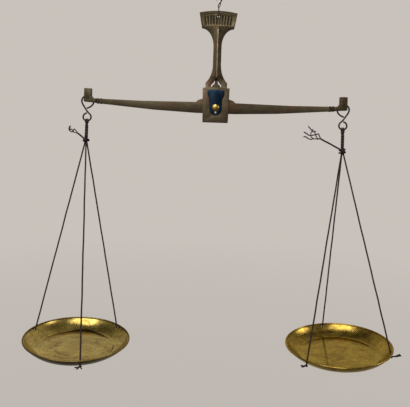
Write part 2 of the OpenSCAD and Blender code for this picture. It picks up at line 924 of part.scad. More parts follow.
module pan(side) {
    at_end(side)
        translate([0, 0, side < 0 ? -left_drop : -right_drop])
            rotate([0, side < 0 ? left_lean : -right_lean, 0])
                pan_shell(side < 0 ? left_turns : right_turns);
}

// Small stopper knots under the rim, one for each cord
module rim_knots(turns, drop, knot_drop, lean) {
    color([0.2, 0.16, 0.15])
        for (i = [0 : pan_cords - 1]) {
            line = cord_line(turns, i, drop, knot_drop, lean);
            top = cord_hole(turns, i, drop, lean) + rim_knot_below * line;
            aim(top, top + line)
                rotate_extrude($fn = 32)
                    polygon([[0, 0], [rim_knot_r * 0.6, 0], [rim_knot_r, rim_knot_h * 0.35],
                        [rim_knot_r, rim_knot_h * 0.65], [rim_knot_r * 0.5, rim_knot_h],
                        [0, rim_knot_h]]);
        }
}

module stopper_knots(side) {
    at_end(side)
        if (side < 0)
            rim_knots(left_turns, left_drop, left_knot_drop, left_lean);
        else
            rim_knots(right_turns, right_drop, right_knot_drop, -right_lean);
}

// The whole lower stretch of the hanging cord, front leg first
module hanging_cord() {
    front = [for (p = hang_side) [p[0], -p[1], p[2]]];
    bend = arc([0, hang_bend_z], hang_bend_r, 180, 180, 12);
    color([0.25, 0.2, 0.19])
        lowered()
            tube(concat(
                smooth(front, 2),
                [for (p = bend) [0, p[0], p[1]]],
                reversed(smooth(hang_side, 2))
            ), hang_d / 2, [1, 0, 0]);
}

// Eye over the knot, which the hand or a hook takes hold of
module hanging_eye() {
    over = arc([0, eye_z], eye_r, 0, 180, 10);
    color([0.25, 0.2, 0.19])
        lowered()
            tube(concat(
                smooth(eye_right, 2),
                [for (p = over) [p[0], 0, p[1]]],
                reversed(smooth(eye_left, 2))
            ), hang_d / 2, [0, 1, 0]);
}

module hanging_knot() {
    wrap = 0.8;
    color([0.2, 0.16, 0.15])
        lowered()
            translate([knot_x, 0, knot_z])
                rotate_extrude($fn = fine) {
                    translate([0, -2 * wrap])
                        square([2 * wrap, 4 * wrap]);
                    for (z = [-wrap, wrap])
                        translate([2 * wrap, z])
                            circle(wrap, $fn = 24);
                }
}

module hanging_tail() {
    color([0.25, 0.2, 0.19])
        lowered()
            tube(smooth(hang_tail, 2), hang_d / 2, [0, 1, 0]);
}

hanging_cord();
hanging_eye();
hanging_knot();
hanging_tail();
handle();
bearing(-1);  // front_bearing
bearing(1);  // back_bearing
cover(-1);  // front_cover
cover(1);  // back_cover
screw(-1);  // front_screw
screw(1);  // back_screw
steady_pin(-1);  // front_pin
steady_pin(1);  // back_pin
beam();
centre_knife();
pointer();
left_box();
right_box();
end_knife(-1);  // left_knife
end_knife(1);  // right_knife
left_hook();
right_hook();
at_end(-1) neck(left_knot_drop);  // left_neck
at_end(-1) knot(left_knot_drop);  // left_knot
at_end(-1) tail(left_tail_points, left_knot_drop);  // left_tail
hang_cord(-1, 0);  // left_cord_rear
hang_cord(-1, 1);  // left_cord_outer
hang_cord(-1, 2);  // left_cord_front
stopper_knots(-1);  // left_rim_knots
pan(-1);  // left_pan
at_end(1) neck(right_knot_drop);  // right_neck
at_end(1) knot(right_knot_drop);  // right_knot
at_end(1) tail(right_tail_points, right_knot_drop);  // right_tail
hang_cord(1, 0);  // right_cord_rear
hang_cord(1, 1);  // right_cord_front
hang_cord(1, 2);  // right_cord_outer
stopper_knots(1);  // right_rim_knots
pan(1);  // right_pan
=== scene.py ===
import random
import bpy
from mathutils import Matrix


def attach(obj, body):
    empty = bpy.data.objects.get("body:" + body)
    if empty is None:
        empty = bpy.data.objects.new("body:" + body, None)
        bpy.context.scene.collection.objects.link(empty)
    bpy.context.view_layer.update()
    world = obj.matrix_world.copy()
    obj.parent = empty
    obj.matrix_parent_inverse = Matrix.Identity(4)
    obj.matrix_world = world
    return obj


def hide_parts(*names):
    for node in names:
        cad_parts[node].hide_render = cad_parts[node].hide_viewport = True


bl_info = {
    "name": "Equal-arm hand scale",
    "version": (1, 0, 0),
    "blender": (4, 5, 0),
    "location": "3D View > Sidebar > Hand scale",
    "description": "Dresses the packed hand scale: cords, knots, hooks, pans, handle, beam and finishes",
    "category": "Object",
}

from math import asin, atan2, ceil, cos, hypot, pi, radians, sin

import bpy
from mathutils import Matrix, Vector, noise

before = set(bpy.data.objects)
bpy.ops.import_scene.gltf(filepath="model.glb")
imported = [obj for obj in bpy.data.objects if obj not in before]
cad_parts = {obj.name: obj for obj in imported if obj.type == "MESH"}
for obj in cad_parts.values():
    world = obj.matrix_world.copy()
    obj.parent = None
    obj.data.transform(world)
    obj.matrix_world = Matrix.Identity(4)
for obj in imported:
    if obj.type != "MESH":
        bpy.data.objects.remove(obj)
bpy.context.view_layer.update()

MM = 0.001
SIDES = ("left", "right")

# Directions of the three cords of each pan, in degrees from +X towards +Y, and their names
TURNS = {"left": (47.4, 164, 289), "right": (93.2, 219, 334)}
CORD_NAMES = {"left": ("rear", "outer", "front"), "right": ("rear", "front", "outer")}

# Points along a hook's wire from the free end inside the upper loop, in mm from its
# knife edge, for the left hook. The right one is its mirror image.
HOOK_LOOP = [
    (-0.6, -12.3), (2.4, -11), (5, -8.6), (5.9, -5.8), (5.3, -2.8), (3.2, -0.4), (0, 0.84),
    (-3.3, -0.4), (-5.5, -2.9), (-5.9, -5.7), (-4.7, -8.6), (-2.6, -11.8), (-0.5, -15),
]

# The ring under that loop: depth of its middle below the knife edge and its radius in mm, and
# its start and sweep in degrees
RING_DROP = 21
RING_R = 3.9
RING_START = 52
RING_SWEEP = 315

# Points along the loose tails of the knots over the pans, in mm from the knot. The last
# number of each strand is its radius. The first strand leaves the knot, the next goes on
# from it, and the others are its loose plies.
TAIL_STRANDS = {
    "left": [
        ([(-1.6, -0.6, 1.2), (-3.5, -0.4, 2.8), (-5.7, 0, 4.5), (-8.2, 0, 6.4)], 0.95),
        ([(-8.2, 0, 6.4), (-10, -0.3, 8.6), (-11.6, 0, 10.3), (-12.7, 0.5, 10.5), (-13.2, 0.7, 9.2),
          (-13.9, 0.2, 7.7), (-15.4, -0.3, 8.1), (-16.8, 0.2, 9.3), (-17.3, 0.4, 10.6)], 0.62),
        ([(-8.2, 0, 6.4), (-10.6, 0.5, 6.9), (-12.6, 0.1, 7.7), (-13.7, -0.5, 9), (-14.8, -0.2, 10.4),
          (-16.2, 0.3, 10.1), (-17.4, 0, 9.7), (-17.2, -0.3, 11.4), (-16.6, 0, 13)], 0.6),
        ([(-16.9, 0.2, 9.8), (-16.6, 0.6, 11.2), (-17.1, 0.3, 12.6)], 0.26),
        ([(-17.2, -0.1, 9.9), (-16.2, -0.4, 11), (-15.9, -0.6, 12.3)], 0.22),
    ],
    "right": [
        ([(-1.8, -0.6, 1.2), (-4.1, -0.9, 2.6), (-8.4, -1.4, 4.7), (-13.5, -2.5, 7.2), (-19, -3.7, 9.6),
          (-23.4, -4.6, 11.8)], 0.95),
        ([(-23.4, -4.6, 11.8), (-25.4, -4.3, 11.1), (-27.2, -4.6, 11.2), (-29.5, -4.6, 11.5),
          (-32.4, -4.2, 10.7), (-35.3, -4.4, 11.5), (-37.3, -4.6, 12.9), (-39.3, -4.8, 13)], 0.62),
        ([(-23.2, -4.6, 11.9), (-24.2, -5.2, 14.1), (-25.6, -5.1, 16.5), (-26.6, -4.6, 15.7),
          (-29, -4.1, 15.2), (-31.4, -4, 14.6), (-34, -4.3, 14.5), (-36.6, -4.6, 16.1),
          (-39.2, -4.9, 17.4)], 0.64),
        ([(-25, -5, 11.4), (-26.8, -5.3, 12.6), (-27.6, -4.8, 14.4), (-28.4, -4.3, 16.6),
          (-28.6, -4.2, 18.3), (-30.2, -4.6, 18.2), (-31.4, -5, 19), (-33.3, -4.8, 21.2),
          (-34.8, -4.4, 23)], 0.6),
        ([(-31.2, -4.3, 19.2), (-32.3, -4.2, 17.2), (-32.6, -4.4, 14.6), (-31.8, -4.9, 12.6),
          (-30.5, -5.1, 11.4)], 0.52),
        ([(-27.8, -4.2, 18.9), (-28.9, -4.6, 18), (-29.4, -4.8, 19.1)], 0.6),
        ([(-30.8, -4.3, 20.6), (-31.3, -4.5, 18.6), (-31.8, -4.6, 17.7)], 0.6),
    ],
}

# Ends of the loose tails of the stopper knots, in mm from the pan's cord hole, in the
# order of the cords
RIM_TAILS = {
    "left": [[(1.6, 1, -4.4)], [(-2, 0, -4.4)],
             [(-4.2, -1.6, -3.3), (2, -1.6, -4.2), (-2.6, -1.4, -4.8)]],
    "right": [[(-1.4, 1.2, -4.4)], [(-5.6, -1, -2.5), (-5, -1.6, -3.6)],
              [(9.2, -1, -0.9), (8.2, -1, 0.1)]],
}

# Points along one side of the hanging cord, its eye and its loose end, in mm from the knot
# over the handle
HANG_SIDE = [
    (2.5, 0.8, -1.6), (2.4, 0.8, -4.4), (1.4, 0.8, -6.8), (0.4, 0.9, -9), (0.1, 1.5, -11.4),
    (0, 2.5, -14.3),
]
EYE_RIGHT = [(3, 0, 0.6), (3.3, 0, 4), (4.4, 0, 9)]
EYE_LEFT = [(1.8, 0, 0.6), (0.2, 0, 4), (-3, 0, 8.5)]
HANG_TAIL = [(1, -0.4, -0.7), (-0.6, -0.6, -0.9), (-2, -0.8, -2.4), (-2.6, -0.8, -4.6)]

# The hanging cord in mm: how far its knot is below the top of the eye and to the side, the
# radius of the eye, its lowest point over the end knives, the thickness of the head that it
# passes through and its clearance there
HANG_KNOT_DROP = 19
HANG_KNOT_X = 2.4
EYE_R = 4.6
HANG_LOW_Z = 83.7
HEAD_T = 3.8
HANG_CLEAR = 0.35

# Pan knots: height, inset of the cord holes from the rim and radius of these holes, in mm
KNOT_H = 4.4
HOLE_INSET = 2.8
HOLE_R = 1.15

# Half width, half depth, cord radius, turns and half height of the wraps of each knot, in mm
WRAPS = {"left": (2.5, 2.0, 0.88, 1.8, 0.55), "right": (2.75, 2.2, 0.88, 2.4, 1.5)}
HANG_WRAPS = (1.6, 1.6, 0.62, 2.4, 1.5)

# A neck in mm: half the gap between its two loops on the ring, the radius of its twist and the
# clearance over the wire, then its turns and the share of its height over which it opens
LOOP_HALF_GAP = 0.78
TWIST_R = 1.04
LOOP_CLEAR = 0.42
TWIST_TURNS = 1.6
OPEN_SHARE = 0.18

# Stopper knots under the rims in mm: how far below the hole, the size of the trefoil, the
# radius of its cord and that of the loose tails. Then the radius of one fibre.
STOPPER_BELOW = 2.6
STOPPER_SCALE = 0.42
STOPPER_R = 0.5
STOPPER_TAIL_R = 0.55
FIBRE_R = 0.09

# How far the plies of each kind of cord run in one turn, in metres
PAN_LAY = 0.003
HANG_LAY = 0.0032
NECK_LAY = 0.0034
TAIL_LAY = 0.0036
WRAP_LAY = 0.004
PLY_LAY = 0.0026
STOPPER_LAY = 0.0022


def colour(name, description, default):
    """A colour property for the sidebar."""
    return bpy.props.FloatVectorProperty(
        name=name, description=description, subtype="COLOR", size=3, min=0, max=1, default=default)


def length(name, description, default):
    """A length property for the sidebar, in metres."""
    return bpy.props.FloatProperty(
        name=name, description=description, unit="LENGTH", min=0, default=default, precision=5)


def angle(name, description, degrees):
    """An angle property for the sidebar."""
    return bpy.props.FloatProperty(
        name=name, description=description, subtype="ANGLE", default=radians(degrees))


class HandScaleSizes(bpy.types.PropertyGroup):
    """Sizes of the scale, as the frame has them"""
    arm_span: length("Arm span", "Distance between the two end knife edges", 0.254)
    hang_h: length("Hanging height", "Top of the hanging eye above the end knife line", 0.124)
    left_drop: length("Left drop", "Depth of the left pan's rim below its hook", 0.2355)
    right_drop: length("Right drop", "Depth of the right pan's rim below its hook", 0.233)
    left_knot_drop: length("Left knot", "Depth of the left knot below its hook", 0.044)
    right_knot_drop: length("Right knot", "Depth of the right knot below its hook", 0.0463)
    left_lean: angle("Left lean", "How far the left pan's outer side hangs above level", 3)
    right_lean: angle("Right lean", "How far the right pan's outer side hangs above level", 4.5)
    wire_d: length("Wire", "Diameter of the hook wire", 0.0016)
    cord_d: length("Pan cord", "Diameter of one pan cord", 0.0015)
    hang_d: length("Hanging cord", "Diameter of the cord that the handle hangs on", 0.0011)
    pan_r: length("Pan radius", "Outer radius of a pan", 0.0506)
    floor_r: length("Floor radius", "Radius of a pan's flat floor", 0.0376)
    pan_h: length("Pan depth", "Depth of a pan", 0.010)
    pan_t: length("Pan sheet", "Thickness of the sheet of a pan", 0.0008)
    rim_r: length("Pan rim", "Radius of the rolled rim of a pan", 0.0007)


class HandScaleColours(bpy.types.PropertyGroup):
    """Colours of the scale's finishes and of the stage"""
    aged: colour("Aged brass", "Brown olive skin on the handle and beam", (0.1, 0.076, 0.043))
    # Painted shade: the dark colour painted into corners and grooves and along the edges of the aged
    # brass
    painted_shade: colour("Painted shade", "Dark colour painted as shade in corners, grooves and along edges of the aged brass", (0.022, 0.017, 0.01))
    # Worn brass is painted on the handle's ribs only, as a painted highlight that is partly wear
    worn: colour("Worn brass", "Rubbed edges of the aged brass", (0.27, 0.215, 0.1))
    left_pan: colour("Left pan", "Rubbed brass of the left pan", (0.66, 0.505, 0.13))
    right_pan: colour("Right pan", "Deeper brass of the right pan", (0.52, 0.36, 0.065))
    tarnish: colour("Tarnish", "Brown stains on the pans", (0.25, 0.135, 0.03))
    blued: colour("Blued steel", "Cover plates over the bearings", (0.005, 0.017, 0.036))
    wire: colour("Iron wire", "Hooks", (0.035, 0.026, 0.024))
    cord: colour("Cord", "Pan cords and knots", (0.052, 0.034, 0.034))
    backdrop: colour("Backdrop", "Pale ground behind and under the scale", (0.58, 0.54, 0.50))


def sizes():
    """The scene's HandScaleSizes."""
    return bpy.context.scene.hand_scale_sizes


def colours():
    """The scene's HandScaleColours."""
    return bpy.context.scene.hand_scale_colours


# Points and curves


def at_beam(x, y, z):
    """A point in mm from the middle of the end knife line, as metres in the frame."""
    return Vector((x * MM, y * MM, z * MM - sizes().hang_h))


def at_end(side, x, y, z):
    """A point in mm from one end's knife edge, as metres in the frame."""
    sign = -1 if side == "left" else 1
    return at_beam(sign * sizes().arm_span / MM / 2 + x, y, z)


def smooth(points, steps):
    """A smooth curve through points, with a few steps between each two."""
    p = [Vector(q) for q in points]
    last = len(p) - 1
    out = []
    for i in range(last):
        a, b, c, d = p[max(i - 1, 0)], p[i], p[i + 1], p[min(i + 2, last)]
        for k in range(steps):
            t = k / steps
            out.append(0.5 * (2 * b + (c - a) * t + (2 * a - 5 * b + 4 * c - d) * t * t
                              + (3 * b - a - 3 * c + d) * t * t * t))
    return out + [p[last]]


def arc(r, start, sweep, steps):
    """Points round the origin in a plane, angles in degrees."""
    turns = [radians(start + sweep * k / steps) for k in range(steps + 1)]
    return [(r * cos(a), r * sin(a)) for a in turns]


def resampled(points, step):
    """The same line with its points evenly spaced."""
    runs = [0.0]
    for a, b in zip(points, points[1:]):
        runs.append(runs[-1] + (b - a).length)
    count = max(2, ceil(runs[-1] / step))
    out, i = [], 0
    for k in range(count + 1):
        s = runs[-1] * k / count
        while i < len(points) - 2 and runs[i + 1] < s:
            i += 1
        share = (s - runs[i]) / max(runs[i + 1] - runs[i], 1e-12)
        out.append(points[i].lerp(points[i + 1], share))
    return out


def carried(points):
    """Direction and two cross directions at each point, carried along the line."""
    last = len(points) - 1
    ways = [(points[min(i + 1, last)] - points[max(i - 1, 0)]).normalized() for i in range(last + 1)]
    a = ways[0].orthogonal()
    out = []
    for way in ways:
        a = (a - way * a.dot(way)).normalized()
        out.append((way, a, way.cross(a)))
    return out


# Meshes


class Form:
    """Vertices, faces and pattern places of one piece, gathered before its mesh is made."""

    def __init__(self):
        self.verts = []
        self.faces = []
        self.uvs = []

    def tube(self, points, radius, sides):
        """Adds a round tube with closed ends."""
        start = len(self.verts)
        run = 0.0
        runs = []
        for i, (p, (_, a, b)) in enumerate(zip(points, carried(points))):
            if i:
                run += (p - points[i - 1]).length
            runs.append(run)
            for k in range(sides):
                turn = 2 * pi * k / sides
                self.verts.append(p + radius * (cos(turn) * a + sin(turn) * b))
        for i in range(len(points) - 1):
            for k in range(sides):
                k2 = (k + 1) % sides
                ring, after = start + i * sides, start + (i + 1) * sides
                self.faces.append((ring + k, ring + k2, after + k2, after + k))
                low, high = runs[i], runs[i + 1]
                self.uvs.append([(u / sides, v) for u, v in
                                 ((k, low), (k + 1, low), (k + 1, high), (k, high))])
        for ring, way in ((0, -1), (len(points) - 1, 1)):
            tip = points[ring] + way * 0.6 * radius * carried(points)[ring][0]
            self.verts.append(tip)
            middle = len(self.verts) - 1
            base = start + ring * sides
            for k in range(sides):
                k2 = (k + 1) % sides
                edge = (base + k, base + k2) if way > 0 else (base + k2, base + k)
                self.faces.append((*edge, middle))
                self.uvs.append([(0, runs[ring])] * 3)

    def laid(self, points, radius, lay, plies=2, phase=0.0, fray=0.0):
        """Adds a cord of two or three twisted plies along points, as thick as radius says.
        fray says how much wider the plies stand at its far end."""
        path = resampled(points, lay / 9)
        ply_r = radius * {2: 0.56, 3: 0.47}[plies]
        off = radius - ply_r
        cross = carried(path)
        for n in range(plies):
            run, out = 0.0, []
            for i, p in enumerate(path):
                if i:
                    run += (p - path[i - 1]).length
                turn = phase + 2 * pi * (run / lay + n / plies)
                spread = off * (1 + fray * (i / len(path)) ** 3)
                out.append(p + spread * (cos(turn) * cross[i][1] + sin(turn) * cross[i][2]))
            self.tube(out, ply_r, 6)

    def make(self, name):
        """The piece as a smooth-shaded object with its place in its mesh."""
        mesh = bpy.data.meshes.new(name)
        mesh.from_pydata([tuple(v) for v in self.verts], [], self.faces)
        layer = mesh.uv_layers.new(name="along")
        flat = [uv for face in self.uvs for uv in face]
        for loop, uv in zip(layer.data, flat):
            loop.uv = uv
        mesh.polygons.foreach_set("use_smooth", [True] * len(mesh.polygons))
        mesh.update()
        piece = bpy.data.objects.new(name, mesh)
        bpy.context.scene.collection.objects.link(piece)
        return piece


def pick(piece):
    """Makes piece the only selected and active object."""
    bpy.ops.object.select_all(action="DESELECT")
    piece.select_set(True)
    bpy.context.view_layer.objects.active = piece


def fit_out(piece, body, slot, material, *nodes):
    """Gives a piece its surface, the body that it rides on and the nodes that it stands for."""
    piece.data.materials.clear()
    piece.data.materials.append(material)
    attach(piece, body)
    if nodes:
        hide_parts(*nodes)


def eased_copy(node, name, ease):
    """A copy of a CAD node whose triangles are joined to faces and whose edges are eased by
    that many mm."""
    sharp, smooth_below = radians(28), radians(35)
    piece = bpy.data.objects.new(name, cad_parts[node].data.copy())
    bpy.context.scene.collection.objects.link(piece)
    pick(piece)
    bpy.ops.object.mode_set(mode="EDIT")
    bpy.ops.mesh.select_all(action="SELECT")
    bpy.ops.mesh.remove_doubles(threshold=2e-6)
    bpy.ops.mesh.dissolve_limited(angle_limit=radians(1))
    bpy.ops.object.mode_set(mode="OBJECT")
    bevel = piece.modifiers.new("Eased edges", "BEVEL")
    bevel.width = ease * MM
    bevel.segments = 2
    bevel.limit_method = "ANGLE"
    bevel.angle_limit = sharp
    bevel.use_clamp_overlap = True
    bpy.ops.object.modifier_apply(modifier=bevel.name)
    bpy.ops.object.shade_smooth_by_angle(angle=smooth_below)
    return piece


# Finishes


class Network:
    """Adds nodes to one node tree and links them."""

    def __init__(self, tree):
        self.nodes = tree.nodes
        self.links = tree.links
        self.coords = self.add("ShaderNodeTexCoord")

    def add(self, kind, settings=None, **inputs):
        node = self.nodes.new(kind)
        for key, value in (settings or {}).items():
            setattr(node, key, value)
        for key, value in inputs.items():
            self.feed(node, key.replace("_", " "), value)
        return node

    def feed(self, node, key, value):
        """Sets or links one input, which is named or numbered."""
        socket = node.inputs[int(key[1:])] if key[0] == "i" and key[1:].isdigit() else node.inputs[key]
        if isinstance(value, bpy.types.NodeSocket):
            self.links.new(value, socket)
        else:
            socket.default_value = value

    def noise(self, scale, detail=4.0, rough=0.55, distortion=0.0, stretch=(1, 1, 1), at=(0, 0, 0)):
        """A grey noise on the piece, with scale in features a metre."""
        place = self.add("ShaderNodeMapping", Vector=self.coords.outputs["Object"],
                         Location=at, Scale=stretch)
        made = self.add("ShaderNodeTexNoise", Vector=place.outputs["Vector"], Scale=scale,
                        Detail=detail, Roughness=rough, Distortion=distortion)
        return made.outputs["Fac"]

    def ramp(self, value, low, high, to_low=0.0, to_high=1.0):
        made = self.add("ShaderNodeMapRange", {"clamp": True}, Value=value, From_Min=low,
                        From_Max=high, To_Min=to_low, To_Max=to_high)
        return made.outputs["Result"]

    def mix(self, share, one, other, blend="MIX"):
        made = self.add("ShaderNodeMix", {"data_type": "RGBA", "blend_type": blend})
        for key, value in (("i0", share), ("i6", one), ("i7", other)):
            self.feed(made, key, (*value, 1) if isinstance(value, tuple) else value)
        return made.outputs[2]

    def maths(self, operation, one, other=0.5):
        made = self.add("ShaderNodeMath", {"operation": operation}, i0=one, i1=other)
        return made.outputs["Value"]

    def axis(self, name, output="Object"):
        """One coordinate, such as "Z", of each point."""
        split = self.add("ShaderNodeSeparateXYZ", Vector=self.coords.outputs[output])
        return split.outputs[name]


class Finish(Network):
    """One material of the scale, made from nodes."""

    def __init__(self, name):
        self.material = bpy.data.materials.new(name)
        self.material.use_nodes = True
        super().__init__(self.material.node_tree)
        self.shader = self.nodes["Principled BSDF"]

    def bump(self, height, strength, distance):
        made = self.add("ShaderNodeBump", Strength=strength, Distance=distance, Height=height)
        return made.outputs["Normal"]

    def edges(self, radius):
        """Bright on outer edges within radius, from a rounded normal."""
        soft = self.add("ShaderNodeBevel", {"samples": 4}, Radius=radius)
        hard = self.add("ShaderNodeNewGeometry")
        dot = self.add("ShaderNodeVectorMath", {"operation": "DOT_PRODUCT"})
        self.feed(dot, "i0", soft.outputs["Normal"])
        self.feed(dot, "i1", hard.outputs["Normal"])
        return self.ramp(dot.outputs["Value"], 0.995, 0.9)

    def corners(self, reach):
        """Dark in corners and grooves within reach."""
        made = self.add("ShaderNodeAmbientOcclusion", {"samples": 8, "only_local": True},
                        Distance=reach)
        return made.outputs["AO"]

    def surface(self, **inputs):
        for key, value in inputs.items():
            value = (*value, 1) if isinstance(value, tuple) else value
            self.feed(self.shader, key.replace("_", " "), value)
        return self.material


def aged_brass(name="Aged brass", shade=1.0, edge=0.0007, grit=0.3, handle_light=False):
    """Brown olive skin with shade painted into its corners and a dark outline painted along
    its edges as shade. With handle_light it also has the handle's painted shade and highlights."""
    c = colours()
    f = Finish(name)
    base = tuple(shade * x for x in c.aged)
    blotch = f.ramp(f.noise(90, 6, 0.6, 0.6), 0.32, 0.68)
    grain = f.ramp(f.noise(700, 5, 0.65), 0.35, 0.65)
    streak = f.ramp(f.noise(520, 6, 0.6, 0.0, (0.12, 1, 1)), 0.38, 0.66)
    warm = f.ramp(f.noise(60, 3, 0.5, 0.0, (1, 1, 1), (0.31, 0.2, 0.1)), 0.55, 0.7)
    skin = f.mix(blotch, tuple(0.66 * x for x in base), tuple(1.3 * x for x in base))
    skin = f.mix(f.maths("MULTIPLY", streak, 0.45), skin, tuple(1.6 * x for x in base))
    reddish = (base[0] * 1.5, base[1] * 0.85, base[2] * 0.85)
    skin = f.mix(f.maths("MULTIPLY", warm, 0.6), skin, reddish)
    skin = f.mix(f.maths("MULTIPLY", grain, grit), skin, tuple(0.5 * x for x in base))
    # A dark outline painted along every edge as shade
    skin = f.mix(f.maths("MULTIPLY", f.edges(edge), 0.75), skin, tuple(c.painted_shade))
    # Shade painted into corners and grooves from ambient occlusion; on the handle it is left off the
    # head
    corner_shade = f.ramp(f.corners(0.0012), 0.45, 0.92, 0.6, 0.0)
    if handle_light:
        skin = paint_handle_light(f, skin)
        below_head = f.ramp(f.axis("Z"), HEAD_FOOT_Z - 0.002, HEAD_FOOT_Z, 1.0, 0.0)
        corner_shade = f.maths("MULTIPLY", corner_shade, below_head)
    skin = f.mix(corner_shade, skin, tuple(c.painted_shade))
    rough = f.ramp(blotch, 0, 1, 0.34, 0.52)
    normal = f.bump(f.noise(1500, 6, 0.7), 0.4 * grit, 0.0002)
    return f.surface(Base_Color=skin, Roughness=rough, Metallic=0.8, Normal=normal)


# Places on the handle in metres: how far the floors and the field of its flutes are from its
# middle plane, then the foot of its head, the top of its window and the shoulders of its plates
FLUTE_FLOOR = 0.001
FLUTE_FIELD = 0.0016
HEAD_FOOT_Z = -0.0525
WINDOW_TOP_Z = -0.102
SHOULDER_Z = -0.108


def paint_handle_light(f, skin):
    """Paints shade over the upper half and into the flutes, and paints highlights, partly wear,
    on the ribs between them and in patches along the ridge of the stem."""
    c = colours()
    # Painted light: the plates below the window are painted brighter and the upper half darker, as the
    # lamps light them
    plates = f.mix(1.0, skin, (1.3, 1.3, 1.3), "MULTIPLY")
    shaded_upper_half = f.mix(1.0, skin, (0.55, 0.52, 0.46), "MULTIPLY")
    skin = f.mix(f.ramp(f.axis("Z"), SHOULDER_Z, WINDOW_TOP_Z), plates, shaded_upper_half)
    depth = f.maths("ABSOLUTE", f.axis("Y"))
    head = f.ramp(f.axis("Z"), HEAD_FOOT_Z - 0.0005, HEAD_FOOT_Z)
    # Painted shade in the flutes
    groove_shade = f.ramp(depth, FLUTE_FLOOR + 0.0002, FLUTE_FIELD - 0.0001, 1.0, 0.0)
    groove_shade = f.maths("MULTIPLY", head, groove_shade)
    skin = f.mix(f.maths("MULTIPLY", groove_shade, 0.7), skin, tuple(c.painted_shade))
    # Painted highlight on the ribs between the flutes, partly wear
    rib_wear_and_highlight = f.maths("MULTIPLY", f.ramp(depth, FLUTE_FIELD - 0.0001, FLUTE_FIELD - 0.00005),
                  f.ramp(depth, FLUTE_FIELD + 0.0001, FLUTE_FIELD + 0.0002, 1.0, 0.0))
    rib_wear_and_highlight = f.maths("MULTIPLY", f.maths("MULTIPLY", rib_wear_and_highlight, head), 0.35)
    skin = f.mix(rib_wear_and_highlight, skin, tuple(c.worn))
    # Painted highlight in patches along the ridge of the stem
    middle = f.ramp(f.maths("ABSOLUTE", f.axis("X")), 0.0002, 0.0006, 1.0, 0.0)
    stem = f.maths("MULTIPLY", f.ramp(f.axis("Z"), WINDOW_TOP_Z, WINDOW_TOP_Z + 0.001),
                   f.maths("SUBTRACT", 1.0, head))
    patchy = f.ramp(f.noise(160, 4), 0.3, 0.6, 0.35, 0.9)
    crest_highlight = f.maths("MULTIPLY", middle, f.maths("MULTIPLY", stem, patchy))
    return f.mix(crest_highlight, skin, (0.33, 0.28, 0.17))


# State of each pan: the colour factor of its underside, which paints it darker as shade on the left pan
# and paler and greyer as a painted reflection on the right, how much of the dark rim colour painted as
# shade and of the painted dark reflection at its crease it takes, its least roughness and its colour at
# a grazing view
PAN_STATES = {
    "left": {"below": (0.3, 0.28, 0.42), "rim": 0.7, "crease_reflection": 1.0, "rough": 0.11,
             "grazing": (1, 0.98, 0.9)},
    "right": {"below": (1.25, 1.3, 2.2), "rim": 0.05, "crease_reflection": 0.0, "rough": 0.12,
              "grazing": (1, 0.93, 0.66)},
}


def pan_brass(side):
    """Rubbed sheet with marks of its spinning, stains, and a darker rim and underside."""
    s = sizes()
    state = PAN_STATES[side]
    f = Finish(f"{side.capitalize()} pan brass")
    base = tuple(getattr(colours(), f"{side}_pan"))
    radius, inner = f.axis("X", "UV"), f.axis("Y", "UV")
    round_about = f.add("ShaderNodeCombineXYZ", X=radius, Y=f.maths("MULTIPLY", f.axis("X"), 0.2),
                        Z=f.maths("MULTIPLY", f.axis("Y"), 0.2))
    spun = f.add("ShaderNodeTexNoise", Vector=round_about.outputs["Vector"], Scale=420, Detail=5,
                 Roughness=0.65, Distortion=0.5)
    spun = f.ramp(spun.outputs["Fac"], 0.42, 0.68)
    cloud = f.ramp(f.noise(80, 7, 0.65, 0.9), 0.38, 0.64)
    stroke = f.ramp(f.noise(260, 6, 0.65, 0.6, (0.35, 1, 1)), 0.47, 0.66)
    stain = f.ramp(f.noise(85, 6, 0.62, 1.6, (0.7, 1, 1), (0.02, 0.03, 0)), 0.53, 0.63)
    skin = f.mix(cloud, tuple(0.8 * x for x in base), tuple(1.22 * x for x in base))
    worn = (base[0] * 0.58, base[1] * 0.47, base[2] * 0.5)
    skin = f.mix(f.maths("MULTIPLY", spun, 0.6), skin, worn)
    skin = f.mix(f.maths("MULTIPLY", stroke, 0.6), skin, worn)
    skin = f.mix(f.maths("MULTIPLY", stain, 0.7), skin, tuple(colours().tarnish))
    # A painted dark reflection in the crease at the foot of the back wall, on the left pan only
    crease_reflection = f.maths("MULTIPLY", paint_crease_reflection(f, side, radius), state["crease_reflection"])
    skin = f.mix(crease_reflection, skin, (0.035, 0.019, 0.006))
    # The underside is multiplied by the pan's factor: painted darker as shade on the left, paler and
    # greyer as a painted reflection on the right
    skin = f.mix(inner, f.mix(1.0, skin, state["below"], "MULTIPLY"), skin)
    # The rim bead is painted dark brown as shade, strongly on the left pan and hardly on the right
    rim = f.ramp(radius, s.pan_r - 0.0016, s.pan_r - 0.0012)
    skin = f.mix(f.maths("MULTIPLY", rim, state["rim"]), skin, (0.14, 0.095, 0.035))
    least = state["rough"]
    rough = f.ramp(f.noise(160, 6, 0.6, 0.3), 0.3, 0.7, least, least + 0.08)
    rough = f.maths("ADD", rough, f.ramp(radius, s.floor_r, s.floor_r + 0.003, 0.0, 0.08))
    rough = f.maths("MAXIMUM", rough, f.maths("MULTIPLY", rim, 0.14 + 0.43 * state["rim"]))
    normal = f.bump(f.noise(900, 4, 0.6, 0.0, (0.25, 1, 1)), 0.06, 0.0002)
    return f.surface(Base_Color=skin, Roughness=rough, Metallic=1.0, Normal=normal,
                     Specular_Tint=state["grazing"])


